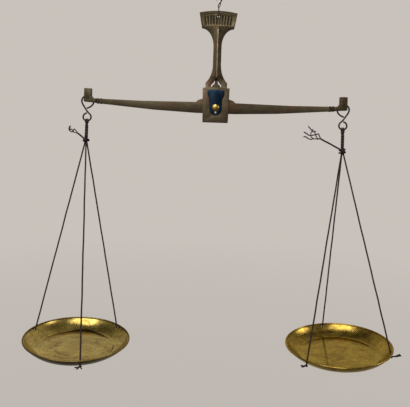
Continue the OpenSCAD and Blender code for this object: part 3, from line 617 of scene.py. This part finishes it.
def paint_crease_reflection(f, side, radius):
    """A crescent painted dark on both sides of the foot of the wall, in the back half of the
    pan, as a painted dark reflection. All sizes are in metres."""
    start = sizes().floor_r - 0.0036
    reach = 0.024
    widest = 0.0054
    middle = at_end(side, -1.5, 0, 0).x
    across = f.maths("DIVIDE", f.maths("SUBTRACT", f.axis("X"), middle), reach)
    width = f.maths("SUBTRACT", 1.0, f.maths("MULTIPLY", across, across))
    width = f.maths("MULTIPLY", f.maths("MAXIMUM", width, 0.0), widest)
    over = f.maths("SUBTRACT", f.maths("SUBTRACT", radius, start), width)
    band = f.maths("MULTIPLY", f.ramp(over, -0.001, 0.0002, 1.0, 0.0),
                   f.ramp(radius, start - 0.0003, start))
    return f.maths("MULTIPLY", band, f.ramp(f.axis("Y"), 0.0, 0.01))


def screw_brass():
    """Yellow brass of the domed screws."""
    f = Finish("Screw brass")
    skin = f.mix(f.ramp(f.noise(700, 5), 0.35, 0.65), (0.62, 0.45, 0.13), (0.36, 0.24, 0.06))
    return f.surface(Base_Color=skin, Roughness=0.27, Metallic=1.0)


def blued_steel():
    """Deep blue temper colour with faint streaks, specks of rust and a dark outline painted along its
    edges as shade.
    """
    f = Finish("Blued steel")
    base = tuple(colours().blued)
    streak = f.ramp(f.noise(420, 5, 0.6, 0.3, (1, 1, 0.18)), 0.4, 0.7)
    skin = f.mix(streak, base, (base[0] * 1.6, base[1] * 2.2, base[2] * 1.9))
    purple = f.ramp(f.noise(160, 3), 0.5, 0.7)
    skin = f.mix(f.maths("MULTIPLY", purple, 0.5), skin, (0.018, 0.016, 0.045))
    # A dark outline painted along the edges as shade
    skin = f.mix(f.maths("MULTIPLY", f.edges(0.0004), 0.7), skin, (0.006, 0.006, 0.008))
    rust = f.ramp(f.noise(520, 4, 0.6, 0.0, (1, 1, 1), (0.1, 0, 0)), 0.58, 0.7)
    skin = f.mix(f.maths("MULTIPLY", rust, 0.6), skin, (0.07, 0.045, 0.025))
    return f.surface(Base_Color=skin, Roughness=0.34, Metallic=0.85)


def bright_steel(name="Ground steel", rough=0.28, shade=1.0, metallic=1.0):
    """Clean steel with a fine grain."""
    f = Finish(name)
    skin = f.mix(f.ramp(f.noise(1200, 4), 0.35, 0.65), tuple(shade * x for x in (0.5, 0.5, 0.52)),
                 tuple(shade * x for x in (0.33, 0.32, 0.31)))
    return f.surface(Base_Color=skin, Roughness=rough, Metallic=metallic)


def iron_wire():
    """Dark iron with thin rust."""
    f = Finish("Iron wire")
    base = tuple(colours().wire)
    rust = f.ramp(f.noise(380, 5, 0.6), 0.5, 0.72)
    skin = f.mix(f.maths("MULTIPLY", rust, 0.6), base, (0.075, 0.042, 0.028))
    normal = f.bump(f.noise(2600, 5, 0.7), 0.3, 0.00015)
    return f.surface(Base_Color=skin, Roughness=0.42, Metallic=0.65, Normal=normal)


def cord_fibre(name="Cord fibre", shade=1.0):
    """Dark spun fibre with paler worn threads along each ply."""
    f = Finish(name)
    base = tuple(shade * x for x in colours().cord)
    place = f.add("ShaderNodeMapping", Vector=f.coords.outputs["UV"], Scale=(9, 700, 1))
    thread = f.add("ShaderNodeTexNoise", Vector=place.outputs["Vector"], Scale=1.0, Detail=3.0)
    fibres = f.ramp(thread.outputs["Fac"], 0.35, 0.7)
    fade = f.ramp(f.noise(140, 4), 0.4, 0.7)
    skin = f.mix(fibres, tuple(0.75 * x for x in base), tuple(1.3 * x for x in base))
    skin = f.mix(f.maths("MULTIPLY", fade, 0.4), skin, (base[0] * 1.9, base[1] * 1.7, base[2] * 1.6))
    normal = f.bump(fibres, 0.5, 0.0001)
    return f.surface(Base_Color=skin, Roughness=0.85, Specular_IOR_Level=0.25, Normal=normal)


FINISHES = {}


def finish(key):
    """The material of that kind, made once."""
    makers = {
        "handle": lambda: aged_brass("Handle brass", edge=0.0004, grit=0.15, handle_light=True),
        "aged": aged_brass,
        "aged_beam": lambda: aged_brass("Aged beam brass"),
        "left_pan": lambda: pan_brass("left"),
        "right_pan": lambda: pan_brass("right"),
        "screw": screw_brass,
        "blued": blued_steel,
        "steel": bright_steel,
        "dull_iron": lambda: aged_brass("Dull iron", 0.6),
        # The pin's steel is painted near white and barely metallic: a painted glint
        "pin": lambda: bright_steel("Polished pin steel", 0.25, 1.8, 0.3),
        "wire": iron_wire,
        "cord": cord_fibre,
        # Knots take a darker copy of the cord fibre: shade painted into the knots
        "knot": lambda: cord_fibre("Knot fibre", 0.7),
    }
    if key not in FINISHES:
        FINISHES[key] = makers[key]()
    return FINISHES[key]


# Operators, in the order in which they run


class HANDSCALE_OT_camera(bpy.types.Operator):
    """Adds the camera where the photograph was taken from"""
    bl_idname = "hand_scale.camera"
    bl_label = "Camera"

    def execute(self, context):
        image_w, image_h = 410, 407
        focal_px = 450
        optical_axis_y = 132.6
        pitch, roll = radians(2.1), radians(2.0)
        turn = Matrix.Rotation(radians(90) + pitch, 3, "X") @ Matrix.Rotation(roll, 3, "Z")
        bpy.ops.object.camera_add(location=at_beam(-9.5, -446, -48.8), rotation=turn.to_euler())
        camera = context.object
        camera.name = "Camera"
        camera.data.sensor_width = 36
        camera.data.lens = camera.data.sensor_width * focal_px / image_w
        camera.data.shift_y = (optical_axis_y - image_h / 2) / image_w
        context.scene.camera = camera
        return {"FINISHED"}


def drops(side):
    """Depths in mm below the hook's knife edge of one pan's rim and of its knot."""
    s = sizes()
    if side == "left":
        return s.left_drop / MM, s.left_knot_drop / MM
    return s.right_drop / MM, s.right_knot_drop / MM


def lean(side):
    """The turn of a pan about the front-to-back line through the middle of its rim."""
    s = sizes()
    return s.left_lean if side == "left" else -s.right_lean


def rim_hole(side, i):
    """Cord hole i of a level pan, in mm from the middle of its rim."""
    s = sizes()
    turn = radians(TURNS[side][i])
    hole_r = s.pan_r / MM - HOLE_INSET
    wall = PanWall()
    slope = asin(sin(wall.start) + (hole_r - wall.floor_r) / wall.r)
    return Vector((hole_r * cos(turn), hole_r * sin(turn), wall.point(slope, s.pan_t / MM / 2)[1]))


def cord_ends(side, i):
    """Where cord i of a pan leaves the knot and where it passes through the pan."""
    drop, knot = drops(side)
    turn = radians(TURNS[side][i])
    way = Vector((cos(turn), sin(turn), 0))
    start = 0.7 * sizes().cord_d / MM * way - Vector((0, 0, knot + KNOT_H / 2))
    hole = Matrix.Rotation(lean(side), 3, "Y") @ rim_hole(side, i) - Vector((0, 0, drop))
    return start, hole


class PanWall:
    """The arc of a pan's wall from its floor to its rim, in mm, with the rim's top at 0."""

    def __init__(self):
        s = sizes()
        self.floor_r = s.floor_r / MM
        self.pan_h = s.pan_h / MM
        run = ((s.pan_r - s.rim_r) / MM - self.floor_r, (s.pan_h - s.rim_r) / MM)
        bulge = radians(18.5)
        self.start = atan2(run[1], run[0]) - bulge
        self.end = self.start + 2 * bulge
        self.r = hypot(*run) / (2 * sin(bulge))

    def point(self, slope, out):
        """Radius and height of the wall where it slopes so much, out mm over its underside."""
        return (self.floor_r + self.r * (sin(slope) - sin(self.start)) - out * sin(slope),
                self.r * (cos(self.start) - cos(slope)) - self.pan_h + out * cos(slope))


def wavy(points, amount, seed):
    """The line with small slow sideways bends, none at its ends. amount is in metres."""
    out = []
    last = len(points) - 1
    for i, p in enumerate(points):
        fade = min(1.0, 6 * i / last, 6 * (last - i) / last)
        shift = Vector((noise.noise((seed, 0, p.z * 60)), noise.noise((seed, 9, p.z * 60)), 0))
        out.append(p + fade * amount * shift)
    return out


class HANDSCALE_OT_pan_cords(bpy.types.Operator):
    """Adds the three cords of each pan"""
    bl_idname = "hand_scale.pan_cords"
    bl_label = "Pan cords"

    def execute(self, context):
        s = sizes()
        for side in SIDES:
            for i, name in enumerate(CORD_NAMES[side]):
                start, hole = cord_ends(side, i)
                below = hole + 1.6 * (hole - start).normalized()
                line = [at_end(side, *start.lerp(below, k / 60)) for k in range(61)]
                line = wavy(line, 0.00025, 3.1 * i + (17 if side == "left" else 40))
                form = Form()
                form.laid(line, 0.54 * s.cord_d, PAN_LAY, plies=3, phase=1.3 * i)
                piece = form.make(f"{side}_{name}_cord")
                fit_out(piece, f"{side}_pan_set", "cord", finish("cord"), f"{side}_cord_{name}")
        return {"FINISHED"}


class HANDSCALE_OT_hanging_cord(bpy.types.Operator):
    """Adds the cord through the head of the handle, its knot, its eye and its loose end"""
    bl_idname = "hand_scale.hanging_cord"
    bl_label = "Hanging cord"

    def execute(self, context):
        s = sizes()
        knot_z = s.hang_h / MM - HANG_KNOT_DROP
        cord_mm = s.hang_d / MM
        bend_r = HEAD_T / 2 + cord_mm / 2 + HANG_CLEAR
        bend_z = HANG_LOW_Z + bend_r
        legs = []
        for way in (-1, 1):
            leg = []
            for x, y, z in smooth(HANG_SIDE, 6):
                # The legs turn three quarters round each other, 12 to 3 mm below the knot
                high = max(0.0, min(1.0, (z + 12) / 9))
                turn = radians(way * 90) + 2 * pi * 0.75 * high
                y *= 1 - 0.3 * high
                leg.append(at_beam(x + y * cos(turn), y * sin(turn), knot_z + z))
            legs.append(leg)
        bend = [at_beam(0, y, bend_z + z) for y, z in arc(bend_r, 180, 180, 14)]
        line = resampled(legs[0] + bend + legs[1][::-1], 0.0007)
        form = Form()
        form.laid(line, s.hang_d / 2, HANG_LAY)
        cord = form.make("hanging_cord_twisted")
        fit_out(cord, "suspension", "cord", finish("cord"), "hanging_cord")

        eye_z = s.hang_h / MM - EYE_R + cord_mm / 2
        eye = ([at_beam(x, y, knot_z + z) for x, y, z in smooth(EYE_RIGHT, 4)]
               + [at_beam(x, 0, eye_z + z) for x, z in arc(EYE_R, 0, 180, 20)]
               + [at_beam(x, y, knot_z + z) for x, y, z in reversed(smooth(EYE_LEFT, 4))])
        eye = resampled(eye, 0.0007)
        form = Form()
        form.laid(eye, s.hang_d / 2, HANG_LAY)
        loop = form.make("hanging_eye_twisted")
        fit_out(loop, "suspension", "cord", finish("cord"), "hanging_eye")

        form = Form()
        wraps(form, lambda x, y, z: at_beam(HANG_KNOT_X + x, y, knot_z + z), *HANG_WRAPS)
        knot = form.make("hanging_knot_tied")
        fit_out(knot, "suspension", "cord", finish("knot"), "hanging_knot")

        form = Form()
        end = [at_beam(x, y, knot_z + z) for x, y, z in smooth(HANG_TAIL, 6)]
        form.laid(end, s.hang_d / 2, HANG_LAY, fray=1.2)
        tail = form.make("hanging_tail_frayed")
        fit_out(tail, "suspension", "cord", finish("cord"), "hanging_tail")

        return {"FINISHED"}


def wraps(form, place, rx, ry, r, turns, rise, tilt=0.0):
    """Turns of cord round an upright bundle, with one strand over them. rx, ry, r and rise
    are half width, half depth, cord radius and half height in mm."""
    count = 26
    steps = int(turns * count)
    helix = []
    for k in range(steps + 1):
        a = 2 * pi * k / count
        level = 2 * max(0.0, min(1.0, (k / steps - 0.35) / 0.3)) - 1
        wide = 1 - 0.07 * level
        helix.append(place(wide * rx * cos(a), wide * ry * sin(a), rise * level + tilt * cos(a)))
    form.laid(helix, r * MM, WRAP_LAY, plies=3)
    over = [(-0.5 * rx, -0.2 * ry, -rise - 1.2 * r), (-0.55 * rx, -ry - 1.1 * r, -0.4 * rise),
            (0.4 * rx, -ry - 1.3 * r, 0.5 * rise), (0.6 * rx, -0.2 * ry, rise + 1.3 * r)]
    form.laid([place(*p) for p in smooth(over, 6)], 0.9 * r * MM, NECK_LAY)
    core = [(0.2, 0.1, -rise - 1.4 * r), (-0.1, 0, 0), (0.1, -0.1, rise + 1.5 * r)]
    form.tube([place(*p) for p in smooth(core, 6)], (min(rx, ry) - 0.55 * r) * MM, 10)


class HANDSCALE_OT_necks(bpy.types.Operator):
    """Adds the twisted necks between the hooks' rings and the knots"""
    bl_idname = "hand_scale.necks"
    bl_label = "Necks"

    def execute(self, context):
        s = sizes()
        cord_mm = s.cord_d / MM
        over_r = s.wire_d / MM / 2 + LOOP_CLEAR + cord_mm / 2
        ring_low = -RING_DROP - RING_R
        top = ring_low - 1.6
        for side in SIDES:
            foot = -drops(side)[1] + KNOT_H / 2 - 0.8
            form = Form()
            for strand, x in enumerate((-LOOP_HALF_GAP, LOOP_HALF_GAP)):
                legs = []
                for way in (1, -1):
                    leg = []
                    for k in range(41):
                        share = k / 40
                        z = foot + (top - foot) * share
                        start = pi * (0.5 if way > 0 else 1.5) + strand * pi * 0.5
                        turn = start + 2 * pi * TWIST_TURNS * (1 - share)
                        wound = Vector((TWIST_R * cos(turn), TWIST_R * sin(turn), z))
                        straight = Vector((x, way * over_r, z))
                        leg.append(straight.lerp(wound, min(1.0, (1 - share) / OPEN_SHARE)))
                    legs.append(leg)
                bend = [Vector((x, y, ring_low - 0.25 + z)) for y, z in arc(over_r, 0, 180, 10)]
                line = legs[0] + bend + legs[1][::-1]
                line = resampled([at_end(side, *p) for p in line], 0.0005)
                form.laid(line, s.cord_d / 2, NECK_LAY, phase=strand)
            piece = form.make(f"{side}_neck_twisted")
            fit_out(piece, f"{side}_pan_set", "cord", finish("cord"), f"{side}_neck")
        return {"FINISHED"}


class HANDSCALE_OT_knots(bpy.types.Operator):
    """Adds the knots over the pans and their frayed tails"""
    bl_idname = "hand_scale.knots"
    bl_label = "Knots and tails"

    def execute(self, context):
        for side in SIDES:
            knot = drops(side)[1]
            form = Form()
            wraps(form, lambda x, y, z: at_end(side, x, y, z - knot), *WRAPS[side], 0.25)
            if side == "left":
                # One more turn of cord stands over the left knot
                turn = [at_end(side, x, y, 3.5 + 0.3 * x - knot) for x, y in arc(1.3, 0, 360, 24)]
                form.laid(turn, 0.68 * MM, PAN_LAY)
            piece = form.make(f"{side}_knot_tied")
            fit_out(piece, f"{side}_pan_set", "cord", finish("knot"), f"{side}_knot")
            self.tail(side, knot)
        return {"FINISHED"}

    def tail(self, side, knot):
        """The loose end of a knot: its cord in one piece, and its loose plies in another."""
        lines = [[at_end(side, x, y, z - knot) for x, y, z in smooth(points, 8)]
                 for points, _ in TAIL_STRANDS[side]]
        radii = [r * MM for _, r in TAIL_STRANDS[side]]
        form = Form()
        form.laid(lines[0], radii[0], TAIL_LAY, plies=3)
        form.laid(lines[1], radii[1], PLY_LAY, fray=0.5)
        piece = form.make(f"{side}_tail_frayed")
        fit_out(piece, f"{side}_pan_set", "cord", finish("cord"), f"{side}_tail")
        form = Form()
        for line, r in zip(lines[2:], radii[2:]):
            form.laid(line, r, PLY_LAY, fray=0.5)
        for line in lines[1:]:
            self.fibres(form, line[-1], line[-1] - line[-4])
        strands = form.make(f"{side}_tail_plies")
        fit_out(strands, f"{side}_pan_set", "cord", finish("cord"))

    def fibres(self, form, tip, way):
        """Four loose fibres at the tip of a ply, 1.1 mm long and bent at random."""
        ahead = way.normalized() * MM
        for _ in range(4):
            bend = Vector([random.uniform(-0.7, 0.7) * MM for _ in range(3)])
            form.tube([tip - 0.3 * way, tip + 0.5 * ahead + 0.4 * bend, tip + 1.1 * ahead + bend],
                      FIBRE_R * MM, 4)


class HANDSCALE_OT_rim_knots(bpy.types.Operator):
    """Adds the stopper knots under the rims, with their short ends"""
    bl_idname = "hand_scale.rim_knots"
    bl_label = "Rim knots"

    def execute(self, context):
        for side in SIDES:
            form = Form()
            for i in range(3):
                start, hole = cord_ends(side, i)
                way = (hole - start).normalized()
                middle = hole + STOPPER_BELOW * way
                out = Vector((way.x, way.y, 0)).normalized()
                across = Vector((-out.y, out.x, 0))
                # An overhand knot is a trefoil
                loops = []
                for k in range(37):
                    a = 2 * pi * k / 36
                    flat = (sin(a) + 1.6 * sin(2 * a), cos(a) - 1.6 * cos(2 * a), -sin(3 * a))
                    loops.append(middle + STOPPER_SCALE * (flat[0] * across + flat[1] * way
                                                           + flat[2] * out))
                form.tube([at_end(side, *p) for p in loops], STOPPER_R * MM, 8)
                for reach in RIM_TAILS[side][i]:
                    tip = hole + Vector(reach)
                    sag = middle.lerp(tip, 0.5) - Vector((0, 0, 0.4))
                    end = [at_end(side, *p) for p in smooth([middle, sag, tip], 6)]
                    form.laid(end, STOPPER_TAIL_R * MM, STOPPER_LAY, fray=0.8)
            piece = form.make(f"{side}_stopper_knots")
            fit_out(piece, f"{side}_pan_set", "cord", finish("knot"), f"{side}_rim_knots")
        return {"FINISHED"}


class HANDSCALE_OT_hooks(bpy.types.Operator):
    """Adds the two bent wire hooks"""
    bl_idname = "hand_scale.hooks"
    bl_label = "Hooks"

    def execute(self, context):
        s = sizes()
        upper = [(p.x, p.y) for p in smooth([(x, z, 0) for x, z in HOOK_LOOP], 8)]
        ring = [(x, z - RING_DROP) for x, z in arc(RING_R, RING_START, -RING_SWEEP, 60)]
        for side in SIDES:
            flip = 1 if side == "left" else -1
            line = [at_end(side, flip * x, 0, z) for x, z in upper + ring]
            line = resampled(line, 0.0004)
            form = Form()
            form.tube(line, s.wire_d / 2, 14)
            piece = form.make(f"{side}_wire_hook")
            fit_out(piece, f"{side}_hook", "iron_wire", finish("wire"), f"{side}_hook")
        return {"FINISHED"}


class HANDSCALE_OT_pans(bpy.types.Operator):
    """Spins the two pans and drills their cord holes"""
    bl_idname = "hand_scale.pans"
    bl_label = "Pans"

    def execute(self, context):
        for side in SIDES:
            piece = self.spun(side)
            self.warp(piece, side)
            self.mark(piece, side)
            self.drill(piece, side)
            self.hang(piece, side)
            fit_out(piece, f"{side}_pan_set", "polished_brass", finish(f"{side}_pan"), f"{side}_pan")
        return {"FINISHED"}

    def section(self):
        """Points round the cut sheet from the middle of the underside to the middle of the
        floor."""
        s = sizes()
        wall = PanWall()
        t, rim = s.pan_t / MM, s.rim_r / MM
        pan_h, floor_r, pan_r = s.pan_h / MM, s.floor_r / MM, s.pan_r / MM
        wall_steps, floor_steps = 14, 16
        slopes = [wall.start + (wall.end - wall.start) * k / wall_steps
                  for k in range(wall_steps + 1)]
        under = [(floor_r * k / floor_steps, -pan_h) for k in range(floor_steps + 1)]
        outside = [wall.point(a, 0) for a in slopes[1:-1]]
        bead = [(pan_r - rim + rim * cos(radians(a)), -rim + rim * sin(radians(a)))
                for a in range(-40, 221, 20)]
        inside = [wall.point(a, t) for a in reversed(slopes[:-1])]
        floor = [(floor_r * k / floor_steps, t - pan_h) for k in range(floor_steps - 1, -1, -1)]
        return under + outside + bead + inside + floor

    def spun(self, side):
        """The level pan, with its section turned about its middle."""
        drop = drops(side)[0]
        points = [at_end(side, r, 0, z - drop) for r, z in self.section()]
        mesh = bpy.data.meshes.new(f"{side}_spun_pan")
        mesh.from_pydata([tuple(p) for p in points], [(i, i + 1) for i in range(len(points) - 1)], [])
        piece = bpy.data.objects.new(f"{side}_spun_pan", mesh)
        bpy.context.scene.collection.objects.link(piece)
        pick(piece)
        bpy.ops.object.mode_set(mode="EDIT")
        bpy.ops.mesh.select_all(action="SELECT")
        bpy.ops.mesh.spin(steps=168, angle=2 * pi, center=at_end(side, 0, 0, 0), axis=(0, 0, 1))
        bpy.ops.mesh.select_all(action="SELECT")
        bpy.ops.mesh.remove_doubles(threshold=4e-6)
        bpy.ops.mesh.normals_make_consistent(inside=False)
        bpy.ops.object.mode_set(mode="OBJECT")
        bpy.ops.object.shade_smooth_by_angle(angle=radians(50))
        return piece

    def warp(self, piece, side):
        """Gives the sheet the small unevenness of old spun brass."""
        s = sizes()
        middle = at_end(side, 0, 0, 0)
        seed = 5 if side == "left" else 11
        for v in piece.data.vertices:
            flat = Vector((v.co.x - middle.x, v.co.y - middle.y, 0))
            inner = max(0.0, min(1.0, (s.pan_r - flat.length) / 0.01))
            broad = noise.noise((flat.x * 55, flat.y * 55, seed)) * 0.00012
            fine = noise.noise((flat.x * 160, flat.y * 160, seed)) * 0.00003
            v.co.z += inner * (broad + fine)
        piece.data.update()

    def mark(self, piece, side):
        """Stores each corner's radius, and whether its face looks up, for the finish."""
        middle = at_end(side, 0, 0, 0)
        mesh = piece.data
        layer = mesh.uv_layers.new(name="spun")
        for face in mesh.polygons:
            for i in face.loop_indices:
                co = mesh.vertices[mesh.loops[i].vertex_index].co
                layer.data[i].uv = (hypot(co.x - middle.x, co.y - middle.y), float(face.normal.z > 0))

    def drill(self, piece, side):
        """Cuts the three cord holes."""
        for i in range(3):
            hole = rim_hole(side, i) - Vector((0, 0, drops(side)[0]))
            bpy.ops.mesh.primitive_cylinder_add(
                vertices=24, radius=HOLE_R * MM, depth=8 * MM, location=at_end(side, *hole))
            bit = bpy.context.object
            pick(piece)
            cut = piece.modifiers.new("Cord hole", "BOOLEAN")
            cut.operation = "DIFFERENCE"
            cut.solver = "EXACT"
            cut.object = bit
            bpy.ops.object.modifier_apply(modifier=cut.name)
            bpy.data.objects.remove(bit)

    def hang(self, piece, side):
        """Turns the pan about the middle of its rim to the lean that its cords give it."""
        middle = at_end(side, 0, 0, -drops(side)[0])
        there = Matrix.Translation(middle)
        piece.data.transform(there @ Matrix.Rotation(lean(side), 4, "Y") @ there.inverted())


class HANDSCALE_OT_handle(bpy.types.Operator):
    """Eases the edges of the handle and gives it its aged skin"""
    bl_idname = "hand_scale.handle"
    bl_label = "Handle"

    def execute(self, context):
        piece = eased_copy("handle", "fluted_handle", 0.22)
        fit_out(piece, "handle", "aged_brass", finish("handle"), "handle")
        return {"FINISHED"}


class HANDSCALE_OT_covers(bpy.types.Operator):
    """Finishes the cover plates, screws, steady pins and bearings"""
    bl_idname = "hand_scale.covers"
    bl_label = "Covers and screws"

    def execute(self, context):
        for face in ("front", "back"):
            rows = [("cover", "blued_steel", "blued", 0.18),
                    ("screw", "polished_brass", "screw", 0.05),
                    ("pin", "steel", "pin", 0.05),
                    ("bearing", "steel", "steel", 0.05)]
            for part, slot, skin, ease in rows:
                piece = eased_copy(f"{face}_{part}", f"{face}_{part}_eased", ease)
                fit_out(piece, "handle", slot, finish(skin), f"{face}_{part}")
        return {"FINISHED"}


class HANDSCALE_OT_beam(bpy.types.Operator):
    """Finishes the beam, its end boxes, its pointer and its knives"""
    bl_idname = "hand_scale.beam"
    bl_label = "Beam"

    def execute(self, context):
        rows = [("beam", "aged_brass", "aged_beam", 0.6),
                ("pointer", "aged_brass", "aged", 0.15),
                ("left_box", "aged_brass", "aged_beam", 0.3),
                ("right_box", "aged_brass", "aged_beam", 0.3),
                ("centre_knife", "steel", "steel", 0.04),
                ("left_knife", "steel", "dull_iron", 0.04),
                ("right_knife", "steel", "dull_iron", 0.04)]
        for node, slot, skin, ease in rows:
            piece = eased_copy(node, f"{node}_eased", ease)
            fit_out(piece, "beam", slot, finish(skin), node)
        return {"FINISHED"}


class HANDSCALE_OT_stage(bpy.types.Operator):
    """Adds the pale floor, the soft lamps and the pale surroundings"""
    bl_idname = "hand_scale.stage"
    bl_label = "Stage"

    def execute(self, context):
        context.scene.view_settings.view_transform = "Standard"
        self.floor()
        self.surroundings(context.scene)
        self.lamp("Ceiling lamp", place=(-0.144, -0.29, 0.29), size=0.5, watts=2.5)
        self.lamp("Window", place=(1.5, -0.06, 0.85), size=0.6, watts=5.2)
        self.lamp("Room", place=(-0.5, -1.5, 0.0), size=1.2, watts=2.5)
        return {"FINISHED"}

    def floor(self):
        """Pale floor that takes the shadow. Metal mirrors it dark under the scale and pale
        further back."""
        bpy.ops.object.select_all(action="DESELECT")
        bpy.ops.mesh.primitive_plane_add(size=30, location=(0, 0, -0.95))
        plane = bpy.context.object
        plane.name = "Floor"
        f = Finish("Floor")
        backdrop = tuple(colours().backdrop)
        f.surface(Base_Color=backdrop, Roughness=0.9)
        path = f.add("ShaderNodeLightPath")
        pale = f.add("ShaderNodeEmission", Color=(*backdrop, 1))
        far = f.add("ShaderNodeVectorMath", {"operation": "LENGTH"}, Vector=f.coords.outputs["Object"])
        far = f.ramp(far.outputs["Value"], 0.3, 3.5, 0.8, 1.0)
        seen = f.maths("MULTIPLY", path.outputs["Is Camera Ray"], far)
        mirrored = f.add("ShaderNodeEmission", Color=f.mix(
            f.ramp(f.axis("Y"), 0.1, 0.6), (0.09, 0.085, 0.08), (0.32, 0.31, 0.29)))
        lit = self.blended(f, path.outputs["Is Glossy Ray"], f.shader.outputs["BSDF"],
                           mirrored.outputs["Emission"])
        shown = self.blended(f, seen, lit, pale.outputs["Emission"])
        f.links.new(shown, f.nodes["Material Output"].inputs["Surface"])
        plane.data.materials.append(f.material)

    def blended(self, f, share, one, other):
        """One shader turning into another by share."""
        blend = f.add("ShaderNodeMixShader", i0=share, i1=one, i2=other)
        return blend.outputs["Shader"]

    def surroundings(self, scene):
        """Pale to the camera. For the light, a pale wall behind, a ceiling over the scale that
        is darker on the left, and a dim room in front."""
        world = bpy.data.worlds.new("Surroundings")
        world.use_nodes = True
        scene.world = world
        f = Network(world.node_tree)
        rise = f.axis("Z", "Generated")
        flat = f.maths("SQRT", f.maths("SUBTRACT", 1.0, f.maths("MULTIPLY", rise, rise)))
        behind = f.maths("DIVIDE", f.axis("Y", "Generated"), f.maths("MAXIMUM", flat, 0.05))
        above = f.ramp(f.axis("X", "Generated"), -0.25, 0.25, 0.2, 0.45)
        wall = f.maths("MULTIPLY", f.ramp(rise, -0.3, 0.2, 0.12, 0.45),
                       f.ramp(rise, 0.5, 0.85, 1.0, above))
        wall = f.maths("MULTIPLY", wall, f.ramp(behind, 0.3, 0.85, 0.38, 1.0))
        room = f.maths("MULTIPLY", f.ramp(rise, -0.4, 0.1, 0.06, 0.3),
                       f.ramp(rise, 0.3, 0.9, 1.0, 0.5))
        share = f.ramp(behind, -0.35, 0.0)
        level = f.maths("ADD", f.maths("MULTIPLY", wall, share),
                        f.maths("MULTIPLY", room, f.maths("SUBTRACT", 1.0, share)))
        around = f.mix(1.0, (1.0, 0.95, 0.88), level, "MULTIPLY")
        path = f.add("ShaderNodeLightPath")
        seen = f.mix(path.outputs["Is Camera Ray"], around, tuple(colours().backdrop))
        f.feed(f.nodes["Background"], "Color", seen)

    def lamp(self, name, place, size, watts):
        """A square lamp turned towards the middle of the scale."""
        bpy.ops.object.light_add(type="AREA", location=place)
        lamp = bpy.context.object
        lamp.name = name
        lamp.data.size = size
        lamp.data.energy = watts
        aim = Vector((0, 0, -0.2)) - Vector(place)
        lamp.rotation_euler = aim.to_track_quat("-Z", "Y").to_euler()


class HANDSCALE_PT_panel(bpy.types.Panel):
    """Lists the steps that make the scale"""
    bl_label = "Hand scale"
    bl_space_type = "VIEW_3D"
    bl_region_type = "UI"
    bl_category = "Hand scale"

    def draw(self, context):
        for step in STEPS:
            self.layout.operator(step.bl_idname)
        for group in (sizes(), colours()):
            for key in group.bl_rna.properties.keys():
                if key not in ("rna_type", "name"):
                    self.layout.prop(group, key)


STEPS = (
    HANDSCALE_OT_camera,
    HANDSCALE_OT_pan_cords,
    HANDSCALE_OT_hanging_cord,
    HANDSCALE_OT_necks,
    HANDSCALE_OT_knots,
    HANDSCALE_OT_rim_knots,
    HANDSCALE_OT_hooks,
    HANDSCALE_OT_pans,
    HANDSCALE_OT_handle,
    HANDSCALE_OT_covers,
    HANDSCALE_OT_beam,
    HANDSCALE_OT_stage,
)
CLASSES = (HandScaleSizes, HandScaleColours, *STEPS, HANDSCALE_PT_panel)


def register():
    for cls in CLASSES:
        bpy.utils.register_class(cls)
    bpy.types.Scene.hand_scale_sizes = bpy.props.PointerProperty(type=HandScaleSizes)
    bpy.types.Scene.hand_scale_colours = bpy.props.PointerProperty(type=HandScaleColours)


def unregister():
    del bpy.types.Scene.hand_scale_colours
    del bpy.types.Scene.hand_scale_sizes
    for cls in reversed(CLASSES):
        bpy.utils.unregister_class(cls)


def main():
    """Makes every piece in order."""
    random.seed(7)
    register()
    for step in STEPS:
        group, name = step.bl_idname.split(".")
        getattr(getattr(bpy.ops, group), name)()


if __name__ == "__main__":
    main()
